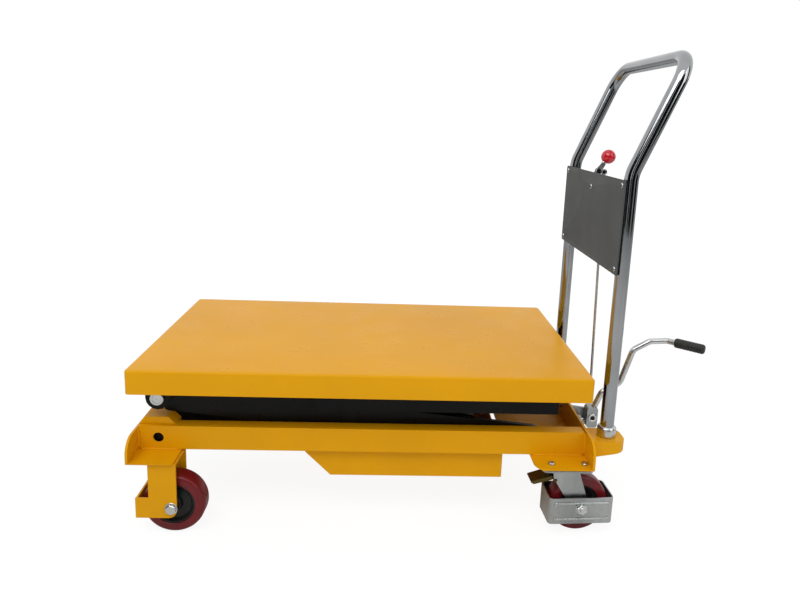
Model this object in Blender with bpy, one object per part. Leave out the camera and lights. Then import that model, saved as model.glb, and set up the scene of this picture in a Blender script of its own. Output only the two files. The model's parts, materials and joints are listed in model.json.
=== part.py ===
"""Mobile lift table: a single scissor lift with a foot pump, two fixed and two swivelling wheels.

Metres, +Z up, +X towards the handle. The near side, which faces -Y, has side -1 and the far side +1.
Everything hangs from one empty, which puts the middle of the whole object's footprint at the origin.
"""

import math

import bmesh
import bpy
from mathutils import Matrix, Vector

# Clearances and sheet
GAP = 0.0003
RUN = 0.0006
SHEET = 0.004
PLATE = 0.005

# Table top
TABLE_LENGTH = 0.910
TABLE_WIDTH = 0.500
TABLE_HEIGHT = 0.345
SKIRT = 0.048
TABLE_CORNER = 0.008
TABLE_BEND = 0.004

# Base frame
RAIL_BOTTOM = 0.161
RAIL_HEIGHT = 0.050
RAIL_OUTER = 0.205
RAIL_FLANGE = 0.028
FRONT_X = -0.454
REAR_X = 0.460
END_WIDTH = 0.528
END_CORNER = 0.032
FRONT_FOOT = 0.084
REAR_FOOT = 0.112
FOOT_INNER = 0.166
FOOT_CORNER = 0.030
WEB_HOLE = 0.0105
TRAY_X = (-0.118, 0.293)
TRAY_SLOPE = 0.052
TRAY_BOTTOM = 0.100
TRAY_HALF = 0.190
DECK_FROM = 0.302

# Scissor
PIVOT_X = -0.410
PIVOT_RISE = 0.083
ARM_REACH = 0.7696
ARM_DEPTH = 0.048
ARM_THICK = 0.010
INNER_Y = 0.150
OUTER_Y = 0.165
PIN_R = 0.012
ROLLER_AXLE_R = 0.008
ROLLER_BORE_R = 0.0088
BASE_ROLLER_Y = (0.1790, 0.1995)
TOP_ROLLER_R = 0.0165
TOP_ROLLER_Y = (0.1780, 0.1960)
CROSS_R = 0.0125
CYLINDER_CROSS_R = 0.017
CROSS_WALL = 0.0025
CYLINDER_CROSS_AT = 0.240
INNER_TIE_AT = 0.620
OUTER_TIE_AT = (0.120, 0.5796)
CHANNEL_WEB_Y = 0.1985
CHANNEL_DEPTH = 0.022
CHANNEL_WALL = 0.003
CHANNEL_X = (-0.090, 0.400)
MEMBER_DEPTH = 0.040
TABLE_LUG_HALF = 0.024
BOSS_R = 0.018
BOSS_THICK = 0.006
BASE_LUG_Y = 0.162
BASE_LUG_THICK = 0.006
BASE_LUG_TOP = 0.227
BASE_LUG_END = -0.377
BASE_LUG_SLANT = 0.015

# Hydraulic cylinder
FOOT_PIN_X = 0.240
FOOT_PIN_Z = 0.130
FOOT_PIN_R = 0.010
FOOT_WIDTH = 0.030
HOOK_WALL = 0.0065
HOOK_LIP = 0.012
BARREL_R = 0.0265
BARREL_BORE_R = 0.0205
BARREL_FROM = 0.036
BARREL_TO = 0.358
GLAND_LENGTH = 0.018
ROD_R = 0.0125
ROD_LENGTH = 0.320
PISTON_LENGTH = 0.020
EYE_WALL = 0.009
EYE_WIDTH = 0.034
EAR_Y = 0.030
EAR_THICK = 0.006
EAR_HALF = 0.024

# Front wheels
WHEEL_R = 0.0615
WHEEL_WIDTH = 0.040
TREAD = 0.0195
HUB_WIDTH = 0.046
AXLE_R = 0.006
FRONT_WHEEL_X = -0.372
CHEEK_OUTER = 0.256
CHEEK_SPAN = 0.068
CHEEK_BOTTOM = 0.041
CHEEK_LEFT = -0.415
CHEEK_RIGHT = -0.361
TOE_X = -0.441
TOE_TOP = 0.083
CHEEK_CORNER = 0.016

# Swivel casters
SWIVEL_X = 0.4175
SWIVEL_Y = 0.207
TRAIL = 0.0345
CASTER_TURN = math.radians(3.0)
CASTER_WHEEL_WIDTH = 0.036
MOUNT_PLATE = (0.110, 0.092)
BOLT_SPACING = (0.068, 0.050)
BOLT_R = 0.004
BOLT_HEAD_R = 0.0068
BOLT_HEAD = 0.004
RACE_R = 0.030
RACE_HEIGHT = 0.012
KINGPIN_R = 0.008
CROWN = 0.006
LEG_TOP_HALF = 0.028
LEG_END_R = 0.018
LEG_THICK = 0.004
GUARD_LENGTH = 0.136
GUARD_WIDTH = 0.068
GUARD_BOTTOM = 0.027
GUARD_TOP = 0.084
GUARD_WALL = 0.0025
GUARD_CORNER = 0.008
BEAD_HEIGHT = 0.0015
BEAD_WIDTH = 0.003
BEAD_INSET = 0.011
PEDAL_PIVOT = (0.022, 0.120)
PEDAL_PIN_R = 0.0035
PEDAL_LENGTH = 0.048
PEDAL_WIDTH = 0.034

# Handle
TUBE_R = 0.014
TUBE_WALL = 0.002
TUBE_Y = 0.190
TUBE_X = 0.508
TUBE_BOTTOM = 0.178
LEAN_Z = 0.745
TOP_REACH = 0.094
TOP_Z = 0.973
LEAN_BEND = 0.070
TOP_BEND = 0.056
COLLAR_R = 0.0195
COLLAR_HEIGHT = 0.023
BRACKET_TOP = 0.200
BRACKET_BOTTOM = 0.164
BRACKET_TAPER = 0.015
BRACKET_LENGTH = 0.078
BRACKET_WIDTH = 0.062
BRACKET_CORNER = 0.022

# Panel and release lever
PANEL_WIDTH = 0.408
PANEL_Z = (0.545, 0.734)
PANEL_THICK = 0.003
PANEL_BOLT_INSET = 0.011
PANEL_BOLT_R = 0.0045
LEVER_BACK = 0.005
LEVER_Z = 0.738
LEVER_PIN_R = 0.003
LEVER_EAR_R = 0.005
LEVER_THICK = 0.006
LEVER_ARM = 0.0126
LEVER_PULL = math.radians(25.0)
BALL_R = 0.016
BALL_REACH = (0.021, 0.031)
RELEASE_R = 0.003
RELEASE_EYE = (0.0038, 0.0066)
VALVE_REACH = 0.049
VALVE_Z = 0.196
VALVE_ARM = 0.0172

# Pump and foot pedal
PEDAL_REACH = 0.074
PEDAL_Z = 0.152
SOCKET_HALF = (0.013, 0.013, 0.025)
SOCKET_BORE = 0.0055
PUMP_AXIS_Z = 0.136
PUMP_R = 0.018
PUMP_REACH = 0.049
PUMP_FLANGE = (0.006, 0.060, 0.086)
PLUNGER_R = 0.006
RESERVOIR = (0.052, 0.110, 0.044)
PIPE_R = 0.004
PIPE_Y = -0.022
SLEEVE_R = 0.0065
PEDAL_ROD_R = 0.007
PEDAL_PATH = ((0.021, 0.060), (0.063, 0.086), (0.087, 0.168), (0.125, 0.190), (0.166, 0.192))
PEDAL_BENDS = (0.020, 0.024, 0.022, 0.020)
GRIP_R = 0.0115
GRIP_ROUND = 0.004
GRIP_LENGTH = 0.085
GRIP_TURN = math.radians(-42.0)

YELLOW = (0.83, 0.46, 0.005)
BLACK = (0.012, 0.012, 0.013)
ZINC = (0.46, 0.48, 0.48)
CHROME = (0.72, 0.73, 0.74)
STEEL = (0.50, 0.50, 0.49)
PANEL_GREY = (0.075, 0.085, 0.088)
TYRE_RED = (0.20, 0.012, 0.014)
KNOB_RED = (0.55, 0.010, 0.015)
OLIVE = (0.10, 0.09, 0.055)
COLOURS = {
    "yellow_paint": (YELLOW, 0.28, 0.0),
    "black_paint": (BLACK, 0.35, 0.0),
    "zinc_plate": (ZINC, 0.38, 1.0),
    "chrome": (CHROME, 0.08, 1.0),
    "bright_steel": (STEEL, 0.30, 1.0),
    "panel_grey": (PANEL_GREY, 0.45, 0.0),
    "red_tyre": (TYRE_RED, 0.32, 0.0),
    "black_nylon": (BLACK, 0.45, 0.0),
    "red_knob": (KNOB_RED, 0.15, 0.0),
    "black_rubber": (BLACK, 0.60, 0.0),
    "dark_zinc": (OLIVE, 0.45, 0.6),
}

# Worked out from the driving sizes
PIVOT_Z = RAIL_BOTTOM + RAIL_HEIGHT / 2
UPPER_Z = PIVOT_Z + PIVOT_RISE
REST_ANGLE = math.asin((UPPER_Z - PIVOT_Z) / ARM_REACH)
RAIL_TOP = RAIL_BOTTOM + RAIL_HEIGHT
FOOT_TOP = RAIL_BOTTOM - GAP
FOOT_UNDER = FOOT_TOP - SHEET
ROLLER_X = PIVOT_X + ARM_REACH * math.cos(REST_ANGLE)
BASE_ROLLER_R = RAIL_HEIGHT / 2 - SHEET - RUN
DECK_UNDER = TABLE_HEIGHT - SHEET
FRONT_WHEEL_Y = CHEEK_OUTER - CHEEK_SPAN / 2
TOP_X = TUBE_X + TOP_REACH
LEVER_PIVOT = (TUBE_X - LEVER_BACK, LEVER_Z)
BALL_AT = (LEVER_PIVOT[0] + BALL_REACH[0], LEVER_PIVOT[1] + BALL_REACH[1])
REAR_FACE = REAR_X + PLATE
VALVE_PIVOT = (REAR_FACE + VALVE_REACH, VALVE_Z)
PUMP_TO = REAR_FACE + PUMP_REACH
PEDAL_X = REAR_FACE + PEDAL_REACH
GRIP_FROM_X = PEDAL_X + PEDAL_PATH[-1][0]
GRIP_END_X = GRIP_FROM_X + GRIP_LENGTH * math.cos(GRIP_TURN)
X_LOW = min(FRONT_X, -TABLE_LENGTH / 2)
X_HIGH = GRIP_END_X + (GRIP_R - GRIP_ROUND) * abs(math.sin(GRIP_TURN))
MIDDLE_X = (X_LOW + X_HIGH) / 2


def clear_scene():
    for obj in list(bpy.data.objects):
        bpy.data.objects.remove(obj, do_unlink=True)


def make_material(name):
    colour, roughness, metallic = COLOURS[name]
    material = bpy.data.materials.new(name)
    material.use_nodes = True
    shader = material.node_tree.nodes["Principled BSDF"]
    shader.inputs["Base Color"].default_value = (*colour, 1.0)
    shader.inputs["Roughness"].default_value = roughness
    shader.inputs["Metallic"].default_value = metallic
    material.diffuse_color = (*colour, 1.0)
    return material


def joint(name, place, parent=None):
    """An empty on a joint's axis, under the lift table's own empty or under another joint's."""
    empty = bpy.data.objects.new(name, None)
    empty.empty_display_size = 0.03
    bpy.context.scene.collection.objects.link(empty)
    AXIS_AT[name] = Vector(place)
    if parent:
        empty.parent = parent
        empty.location = AXIS_AT[name] - AXIS_AT[parent.name]
    return empty


def turn_faces_out(bm):
    bmesh.ops.recalc_face_normals(bm, faces=bm.faces)


def slab(low, high):
    """A box between two corners, given in any order."""
    bm = bmesh.new()
    bmesh.ops.create_cube(bm, size=1.0)
    size = [abs(b - a) for a, b in zip(low, high)]
    middle = [(a + b) / 2 for a, b in zip(low, high)]
    bmesh.ops.scale(bm, vec=size, verts=bm.verts)
    bmesh.ops.translate(bm, vec=middle, verts=bm.verts)
    return bm


def prism(outline, along, start, end):
    """An outline in the plane across X, Y or Z, extruded along that axis. Its pairs are the other two axes
    in order.
    """
    axis = "XYZ".index(along)
    others = [i for i in range(3) if i != axis]
    bm = bmesh.new()
    verts = []
    for pair in outline:
        place = [0.0, 0.0, 0.0]
        place[axis] = start
        place[others[0]], place[others[1]] = pair
        verts.append(bm.verts.new(place))
    face = bm.faces.new(verts)
    out = bmesh.ops.extrude_face_region(bm, geom=[face])
    moved = [item for item in out["geom"] if isinstance(item, bmesh.types.BMVert)]
    shift = [0.0, 0.0, 0.0]
    shift[axis] = end - start
    bmesh.ops.translate(bm, vec=shift, verts=moved)
    turn_faces_out(bm)
    return bm


def arc(centre, radius, start, end, steps):
    """Points on a round stretch of an outline, angles in degrees."""
    points = []
    for i in range(steps + 1):
        angle = math.radians(start + (end - start) * i / steps)
        points.append((centre[0] + radius * math.cos(angle), centre[1] + radius * math.sin(angle)))
    return points


def corner_cut(corner, radius, signs):
    """The piece that a round corner takes off a square one. The signs point out of the corner."""
    sx, sy = signs
    spare = radius
    middle = (corner[0] - sx * radius, corner[1] - sy * radius)
    points = [(middle[0] + sx * x, middle[1] + sy * y) for x, y in arc((0, 0), radius, 0, 90, 6)]
    points.append((middle[0], corner[1] + sy * spare))
    points.append((corner[0] + sx * spare, corner[1] + sy * spare))
    points.append((corner[0] + sx * spare, middle[1]))
    return points


def rounded_box_outline(x0, x1, y0, y1, radius, steps=4):
    points = arc((x1 - radius, y1 - radius), radius, 0, 90, steps)
    points += arc((x0 + radius, y1 - radius), radius, 90, 180, steps)
    points += arc((x0 + radius, y0 + radius), radius, 180, 270, steps)
    points += arc((x1 - radius, y0 + radius), radius, 270, 360, steps)
    return points


def bar_outline(a, b, half, steps=6):
    """A flat bar with round ends about two pivots."""
    angle = math.degrees(math.atan2(b[1] - a[1], b[0] - a[0]))
    return arc(a, half, angle + 90, angle + 270, steps) + arc(b, half, angle - 90, angle + 90, steps)


def rod(start, end, radius, sides=16):
    """A round bar between two points."""
    start, end = Vector(start), Vector(end)
    bm = bmesh.new()
    bmesh.ops.create_cone(
        bm, cap_ends=True, segments=sides, radius1=radius, radius2=radius, depth=(end - start).length
    )
    turn = (end - start).to_track_quat("Z", "Y").to_matrix().to_4x4()
    bm.transform(Matrix.Translation((start + end) / 2) @ turn)
    return bm


def turned(profile, centre, axis, sides=24):
    """A closed profile of (radius, height) pairs turned about an axis. Only its first and last pairs may
    be on the axis.
    """
    bm = bmesh.new()
    solid = profile[0][0] == 0
    rings = []
    for r, h in profile:
        if r == 0:
            rings.append([bm.verts.new((0, 0, h))] * sides)
            continue
        angles = [2 * math.pi * i / sides for i in range(sides)]
        rings.append([bm.verts.new((r * math.cos(a), r * math.sin(a), h)) for a in angles])
    for j in range(len(rings) - 1 if solid else len(rings)):
        here, following = rings[j], rings[(j + 1) % len(rings)]
        for i in range(sides):
            k = (i + 1) % sides
            corners = [here[i], following[i], following[k], here[k]]
            bm.faces.new(list(dict.fromkeys(corners)))
    turn = Vector(axis).to_track_quat("Z", "Y").to_matrix().to_4x4()
    bm.transform(Matrix.Translation(Vector(centre)) @ turn)
    turn_faces_out(bm)
    return bm


def pipe(start, end, outer, inner, sides=16):
    """A straight tube open at both ends."""
    length = (Vector(end) - Vector(start)).length
    profile = [(inner, 0), (outer, 0), (outer, length), (inner, length)]
    return turned(profile, start, Vector(end) - Vector(start), sides)


def ball(centre, radius, sides=14):
    bm = bmesh.new()
    bmesh.ops.create_uvsphere(bm, u_segments=sides, v_segments=sides // 2, radius=radius)
    bmesh.ops.translate(bm, vec=centre, verts=bm.verts)
    return bm


def rounded_path(points, radii, steps=6):
    """A path through points with each inner corner rounded to its radius."""
    points = [Vector(p) for p in points]
    path = [points[0]]
    for i in range(1, len(points) - 1):
        before = (points[i - 1] - points[i]).normalized()
        after = (points[i + 1] - points[i]).normalized()
        half = before.angle(after) / 2
        back = radii[i - 1] / math.tan(half)
        middle = points[i] + (before + after).normalized() * (radii[i - 1] / math.sin(half))
        first = points[i] + before * back - middle
        last = points[i] + after * back - middle
        whole = first.angle(last)
        for j in range(steps + 1):
            share = j / steps
            a = math.sin((1 - share) * whole) / math.sin(whole)
            b = math.sin(share * whole) / math.sin(whole)
            path.append(middle + first * a + last * b)
    path.append(points[-1])
    return path


def swept(path, outer, inner=None, sides=14):
    """A round bar, or a tube open at both ends, along a path. Each ring turns as little as it can."""
    path = [Vector(p) for p in path]
    tangents = []
    for i in range(len(path)):
        ahead = path[min(i + 1, len(path) - 1)] - path[max(i - 1, 0)]
        tangents.append(ahead.normalized())
    side = tangents[0].orthogonal().normalized()
    bm = bmesh.new()
    rings = []
    for i, point in enumerate(path):
        if i:
            side = tangents[i - 1].rotation_difference(tangents[i]) @ side
        other = tangents[i].cross(side)
        ring = []
        for radius in [outer] if inner is None else [outer, inner]:
            for j in range(sides):
                angle = 2 * math.pi * j / sides
                offset = side * math.cos(angle) + other * math.sin(angle)
                ring.append(bm.verts.new(point + offset * radius))
        rings.append(ring)
    for a, b in zip(rings, rings[1:]):
        for start in range(0, len(a), sides):
            for j in range(sides):
                k = (j + 1) % sides
                bm.faces.new((a[start + j], a[start + k], b[start + k], b[start + j]))
    for ring in (rings[0], rings[-1]):
        if inner is None:
            bm.faces.new(ring)
        else:
            for j in range(sides):
                k = (j + 1) % sides
                bm.faces.new((ring[j], ring[k], ring[sides + k], ring[sides + j]))
    turn_faces_out(bm)
    return bm


def hexagon(start, end, radius):
    return rod(start, end, radius, 6)


def place_mesh(name, bm, parent):
    mesh = bpy.data.meshes.new(name)
    bmesh.ops.translate(bm, vec=-AXIS_AT[parent.name], verts=bm.verts)
    bm.to_mesh(mesh)
    bm.free()
    obj = bpy.data.objects.new(name, mesh)
    obj.parent = parent
    bpy.context.scene.collection.objects.link(obj)
    return obj


def part(name, finish, bm, parent=None, add=(), cut=(), turn=None, cut_first=False):
    """One named piece: its first body, what is fused to it and what is cut from it."""
    parent = parent or ROOT
    if turn is not None:
        bm.transform(turn)
    obj = place_mesh(name, bm, parent)
    obj.data.materials.append(MATERIALS[finish])
    unions = [("UNION", body) for body in add]
    cuts = [("DIFFERENCE", body) for body in cut]
    steps = cuts + unions if cut_first else unions + cuts
    for i, (operation, helper) in enumerate(steps):
        if turn is not None:
            helper.transform(turn)
        tool = place_mesh(f"{name}_tool_{i}", helper, parent)
        tool.hide_render = True
        tool.display_type = "WIRE"
        boolean = obj.modifiers.new(operation.lower(), "BOOLEAN")
        boolean.operation = operation
        boolean.object = tool
        boolean.solver = "EXACT"
    obj.data.shade_smooth()
    obj.data.set_sharp_from_angle(angle=math.radians(32))
    return obj


def sided(name, side):
    return f"{name}_{'near' if side < 0 else 'far'}"


def make_table(body):
    half_l, half_w = TABLE_LENGTH / 2, TABLE_WIDTH / 2
    bm = slab((-half_l, -half_w, TABLE_HEIGHT - SKIRT), (half_l, half_w, TABLE_HEIGHT))
    upright = [e for e in bm.edges if abs(e.verts[0].co.z - e.verts[1].co.z) > SKIRT / 2]
    bmesh.ops.bevel(bm, geom=upright, offset=TABLE_CORNER, segments=4, profile=0.5, affect="EDGES")
    rim = [e for e in bm.edges if min(v.co.z for v in e.verts) > TABLE_HEIGHT - GAP]
    bmesh.ops.bevel(bm, geom=rim, offset=TABLE_BEND, segments=3, profile=0.5, affect="EDGES")
    under = [f for f in bm.faces if f.normal.z < -0.9]
    bmesh.ops.delete(bm, geom=under, context="FACES_ONLY")
    top = part("table_top", "yellow_paint", bm, body)
    shell = top.modifiers.new("sheet", "SOLIDIFY")
    shell.thickness = SHEET
    shell.offset = -1.0
    shell.use_even_offset = True
    for side in (-1, 1):
        make_table_side(side, body)


def make_table_side(side, body):
    """A folded member under the deck: the front end holds the upper pivot and the rest holds the roller
    channel.
    """
    web, out, tip = CHANNEL_WEB_Y, CHANNEL_WEB_Y + CHANNEL_WALL, CHANNEL_WEB_Y - CHANNEL_DEPTH
    low, high = UPPER_Z - TOP_ROLLER_R - RUN, UPPER_Z + TOP_ROLLER_R + RUN
    top = DECK_UNDER - GAP
    waist = top - MEMBER_DEPTH
    outline = [(CHANNEL_X[1], low - CHANNEL_WALL), (CHANNEL_X[1], top), (PIVOT_X - TABLE_LUG_HALF, top)]
    outline += arc((PIVOT_X, UPPER_Z), TABLE_LUG_HALF, 180, 360, 8)
    outline += [
        (PIVOT_X + TABLE_LUG_HALF + 0.02, waist), (CHANNEL_X[0] - 0.02, waist),
        (CHANNEL_X[0], low - CHANNEL_WALL),
    ]
    plate = prism(outline, "Y", side * web, side * out)
    flanges = []
    for z in (low - CHANNEL_WALL, high):
        flanges.append(
            slab(
                (CHANNEL_X[0] + 0.0005, side * tip, z),
                (CHANNEL_X[1] - 0.0005, side * (web + 0.001), z + CHANNEL_WALL),
            )
        )
    hem = slab(
        (PIVOT_X - TABLE_LUG_HALF + 0.001, side * tip, top - CHANNEL_WALL),
        (CHANNEL_X[1] - 0.001, side * (web + 0.001), top - 0.0002),
    )
    hole = rod(
        (PIVOT_X, side * (web - 0.01), UPPER_Z), (PIVOT_X, side * (out + 0.01), UPPER_Z), PIN_R + GAP,
    )
    part(sided("table_side_member", side), "yellow_paint", plate, body, add=[*flanges, hem], cut=[hole])
    profile = [
        (0, OUTER_Y - 0.002), (PIN_R, OUTER_Y - 0.002), (PIN_R, out + GAP), (BOSS_R, out + GAP),
        (BOSS_R, out + GAP + BOSS_THICK), (0, out + GAP + BOSS_THICK),
    ]
    part(
        sided("upper_pivot_pin", side), "bright_steel",
        turned(profile, (PIVOT_X, 0, UPPER_Z), (0, side, 0), 16), body,
    )


def along_inner(distance):
    return (PIVOT_X + distance * math.cos(REST_ANGLE), PIVOT_Z + distance * math.sin(REST_ANGLE))


def along_outer(distance):
    return (PIVOT_X + distance * math.cos(REST_ANGLE), UPPER_Z - distance * math.sin(REST_ANGLE))


def pivot_hole(place, side, low, high, radius):
    return rod(
        (place[0], side * (low - SHEET), place[1]), (place[0], side * (high + SHEET), place[1]), radius,
    )


def cross_tube(place, half, radius):
    return pipe((place[0], -half, place[1]), (place[0], half, place[1]), radius, radius - CROSS_WALL, 16)


def make_arms(inner, outer):
    centre = along_inner(ARM_REACH / 2)
    for side in (-1, 1):
        inner_out, outer_out = INNER_Y + ARM_THICK, OUTER_Y + ARM_THICK
        ends = ((PIVOT_X, PIVOT_Z), (ROLLER_X, UPPER_Z))
        bar = prism(bar_outline(*ends, ARM_DEPTH / 2), "Y", side * INNER_Y, side * inner_out)
        stub = rod(
            (ROLLER_X, side * (inner_out - SHEET), UPPER_Z), (ROLLER_X, side * TOP_ROLLER_Y[1], UPPER_Z),
            ROLLER_AXLE_R,
        )
        holes = [pivot_hole(p, side, INNER_Y, inner_out, PIN_R + GAP) for p in (ends[0], centre)]
        part(sided("inner_arm", side), "black_paint", bar, inner, add=[stub], cut=holes)
        ends = ((PIVOT_X, UPPER_Z), (ROLLER_X, PIVOT_Z))
        bar = prism(bar_outline(*ends, ARM_DEPTH / 2), "Y", side * OUTER_Y, side * outer_out)
        stub = rod(
            (ROLLER_X, side * (outer_out - SHEET), PIVOT_Z), (ROLLER_X, side * BASE_ROLLER_Y[1], PIVOT_Z),
            ROLLER_AXLE_R,
        )
        holes = [pivot_hole(p, side, OUTER_Y, outer_out, PIN_R + GAP) for p in (ends[0], centre)]
        part(sided("outer_arm", side), "black_paint", bar, outer, add=[stub], cut=holes)
    half = INNER_Y - GAP
    part(
        "cylinder_cross_tube", "black_paint",
        cross_tube(along_inner(CYLINDER_CROSS_AT), half, CYLINDER_CROSS_R), inner,
    )
    part("inner_tie_tube", "black_paint", cross_tube(along_inner(INNER_TIE_AT), half, CROSS_R), inner)
    half = OUTER_Y - GAP
    for name, distance in zip(("outer_upper_tie_tube", "outer_lower_tie_tube"), OUTER_TIE_AT):
        part(name, "black_paint", cross_tube(along_outer(distance), half, CROSS_R), outer)
    for side in (-1, 1):
        profile = [
            (0, INNER_Y - GAP - 0.003), (
                BOSS_R, INNER_Y - GAP - 0.003,
            ), (BOSS_R, INNER_Y - GAP), (PIN_R, INNER_Y - GAP),
            (PIN_R, BASE_LUG_Y + BASE_LUG_THICK + 0.002), (0, BASE_LUG_Y + BASE_LUG_THICK + 0.002),
        ]
        pin = turned(profile, (PIVOT_X, 0, PIVOT_Z), (0, side, 0), 16)
        part(sided("lower_pivot_pin", side), "bright_steel", pin, inner)
        spacer = (INNER_Y + ARM_THICK + GAP, OUTER_Y - GAP)
        profile = [
            (0, INNER_Y - 0.003), (PIN_R, INNER_Y - 0.003), (PIN_R, spacer[0]), (BOSS_R, spacer[0]),
            (BOSS_R, spacer[1]), (PIN_R, spacer[1]), (PIN_R, OUTER_Y + ARM_THICK + GAP),
            (BOSS_R, OUTER_Y + ARM_THICK + GAP), (
                BOSS_R, OUTER_Y + ARM_THICK + 0.002,
            ), (0, OUTER_Y + ARM_THICK + 0.002),
        ]
        pin = turned(profile, (centre[0], 0, centre[1]), (0, side, 0), 16)
        part(sided("centre_pivot_pin", side), "bright_steel", pin, outer)


def make_rollers(bodies):
    for side in (-1, 1):
        for name, z, radius, ends in (
            ("base_roller", PIVOT_Z, BASE_ROLLER_R, BASE_ROLLER_Y),
            ("top_roller", UPPER_Z, TOP_ROLLER_R, TOP_ROLLER_Y),
        ):
            profile = [
                (ROLLER_BORE_R, ends[0]), (radius - 0.002, ends[0]), (radius, ends[0] + 0.002),
                (radius, ends[1] - 0.002), (radius - 0.002, ends[1]), (ROLLER_BORE_R, ends[1]),
            ]
            body = bodies[sided(name, side)]
            part(
                sided(name, side), "bright_steel", turned(profile, (ROLLER_X, 0, z), (0, side, 0), 16),
                body,
            )


def foot_bolt_places(side):
    for i in (-1, 1):
        for j in (-1, 1):
            yield SWIVEL_X + i * BOLT_SPACING[0] / 2, side * (SWIVEL_Y + 0.008 + j * BOLT_SPACING[1] / 2)


def bolt_holes(side):
    return [
        rod((x, y, FOOT_UNDER - 0.02), (x, y, RAIL_BOTTOM + 0.01), BOLT_R / math.cos(math.pi / 6) + GAP, 6)
        for x, y in foot_bolt_places(side)
    ]


def make_rails():
    for side in (-1, 1):
        outer, tip = RAIL_OUTER, RAIL_OUTER - RAIL_FLANGE
        low, high = RAIL_BOTTOM, RAIL_TOP
        outline = [
            (outer, low), (outer, high), (tip, high), (tip, high - SHEET), (outer - SHEET, high - SHEET),
            (outer - SHEET, low + SHEET), (tip, low + SHEET), (tip, low),
        ]
        rail = prism([(side * y, z) for y, z in outline], "X", FRONT_X + PLATE + GAP, REAR_X - GAP)
        hole = rod(
            (PIVOT_X, side * (outer - 0.01), PIVOT_Z), (PIVOT_X, side * (outer + 0.01), PIVOT_Z), WEB_HOLE,
        )
        inner_holes = [h for h, p in zip(bolt_holes(side), foot_bolt_places(side)) if abs(p[1]) < outer]
        part(sided("side_rail", side), "yellow_paint", rail, cut=[hole, *inner_holes])


def make_end_plates():
    half = END_WIDTH / 2
    for name, face, inward, reach, top in (
        ("front_end_plate", FRONT_X, 1, FRONT_FOOT, RAIL_TOP - 0.003),
        ("rear_end_plate", REAR_X, -1, REAR_FOOT, RAIL_TOP + 0.004),
    ):
        outside = face if inward > 0 else face + PLATE
        inside = face + PLATE if inward > 0 else face
        wall = slab((outside, -half, FOOT_UNDER), (inside, half, top))
        feet = []
        cuts = []
        for side in (-1, 1):
            feet.append(
                slab(
                    (inside - inward * 0.002, side * FOOT_INNER, FOOT_UNDER),
                    (inside + inward * reach, side * half, FOOT_TOP),
                )
            )
            cuts.append(
                prism(
                    corner_cut((side * half, top), END_CORNER, (side, 1)), "X", face - 0.01,
                    face + PLATE + 0.01,
                )
            )
            low = corner_cut((side * half, FOOT_UNDER), PLATE, (side, -1))
            cuts.append(
                prism(
                    low, "X", min(outside, inside + inward * reach) - 0.01,
                    max(outside, inside + inward * reach) + 0.01,
                )
            )
            far_corner = (inside + inward * reach, side * half)
            cuts.append(
                prism(
                    corner_cut(far_corner, FOOT_CORNER if inward < 0 else 0.006, (inward, side)), "Z",
                    FOOT_UNDER - 0.01, FOOT_TOP + 0.01,
                )
            )
            if inward < 0:
                cuts += bolt_holes(side)
        extra, extra_cuts = base_lugs() if inward > 0 else handle_brackets()
        part(name, "yellow_paint", wall, add=[*feet, *extra], cut=[*cuts, *extra_cuts])


def make_tray():
    """The tray under the rails, folded from one sheet: a floor with a slope at its front and two side
    walls.
    """
    x0, x1 = TRAY_X
    top = RAIL_BOTTOM - GAP
    side_view = [(x0, top), (x0, top - 0.010), (x0 + TRAY_SLOPE, TRAY_BOTTOM), (x1, TRAY_BOTTOM), (x1, top)]
    inside_view = [
        (x0 + SHEET, top + 0.01), (x0 + SHEET, top - 0.010 + 0.001), (
            x0 + TRAY_SLOPE + 0.002, TRAY_BOTTOM + SHEET,
        ),
        (x1 - SHEET, TRAY_BOTTOM + SHEET), (x1 - SHEET, top + 0.01),
    ]
    whole = prism(side_view, "Y", -TRAY_HALF, TRAY_HALF)
    hollow = prism(inside_view, "Y", -TRAY_HALF + SHEET, TRAY_HALF - SHEET)
    part("bottom_tray", "yellow_paint", whole, cut=[hollow])


def base_lugs():
    """Two plates welded to the front plate and over the rails, which hold the lower pivot pins."""
    low = RAIL_BOTTOM + SHEET
    front = FRONT_X + PLATE - 0.001
    lugs, caps = [], []
    for side in (-1, 1):
        outline = [
            (front, low), (BASE_LUG_END, low), (BASE_LUG_END, RAIL_TOP + GAP),
            (
                BASE_LUG_END - BASE_LUG_SLANT, BASE_LUG_TOP,
            ), (front + 0.012, BASE_LUG_TOP), (front, RAIL_TOP + GAP),
        ]
        lugs.append(prism(outline, "Y", side * BASE_LUG_Y, side * (BASE_LUG_Y + BASE_LUG_THICK)))
        over = outline[2:]
        start = BASE_LUG_Y + BASE_LUG_THICK / 2
        caps.append(prism(over, "Y", side * start, side * (RAIL_OUTER - 0.008)))
    reach = BASE_LUG_Y + BASE_LUG_THICK + 0.005
    hole = rod((PIVOT_X, -reach, PIVOT_Z), (PIVOT_X, reach, PIVOT_Z), PIN_R + RUN)
    return [*lugs, *caps], [hole]


def cheek_outline():
    right_low = arc((CHEEK_RIGHT - CHEEK_CORNER, CHEEK_BOTTOM + CHEEK_CORNER), CHEEK_CORNER, -90, 0, 4)
    return [
        (CHEEK_LEFT, FOOT_UNDER - GAP), (CHEEK_LEFT, TOE_TOP), (TOE_X, TOE_TOP), (TOE_X, CHEEK_BOTTOM),
        *right_low, (CHEEK_RIGHT, FOOT_UNDER - GAP),
    ]


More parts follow.
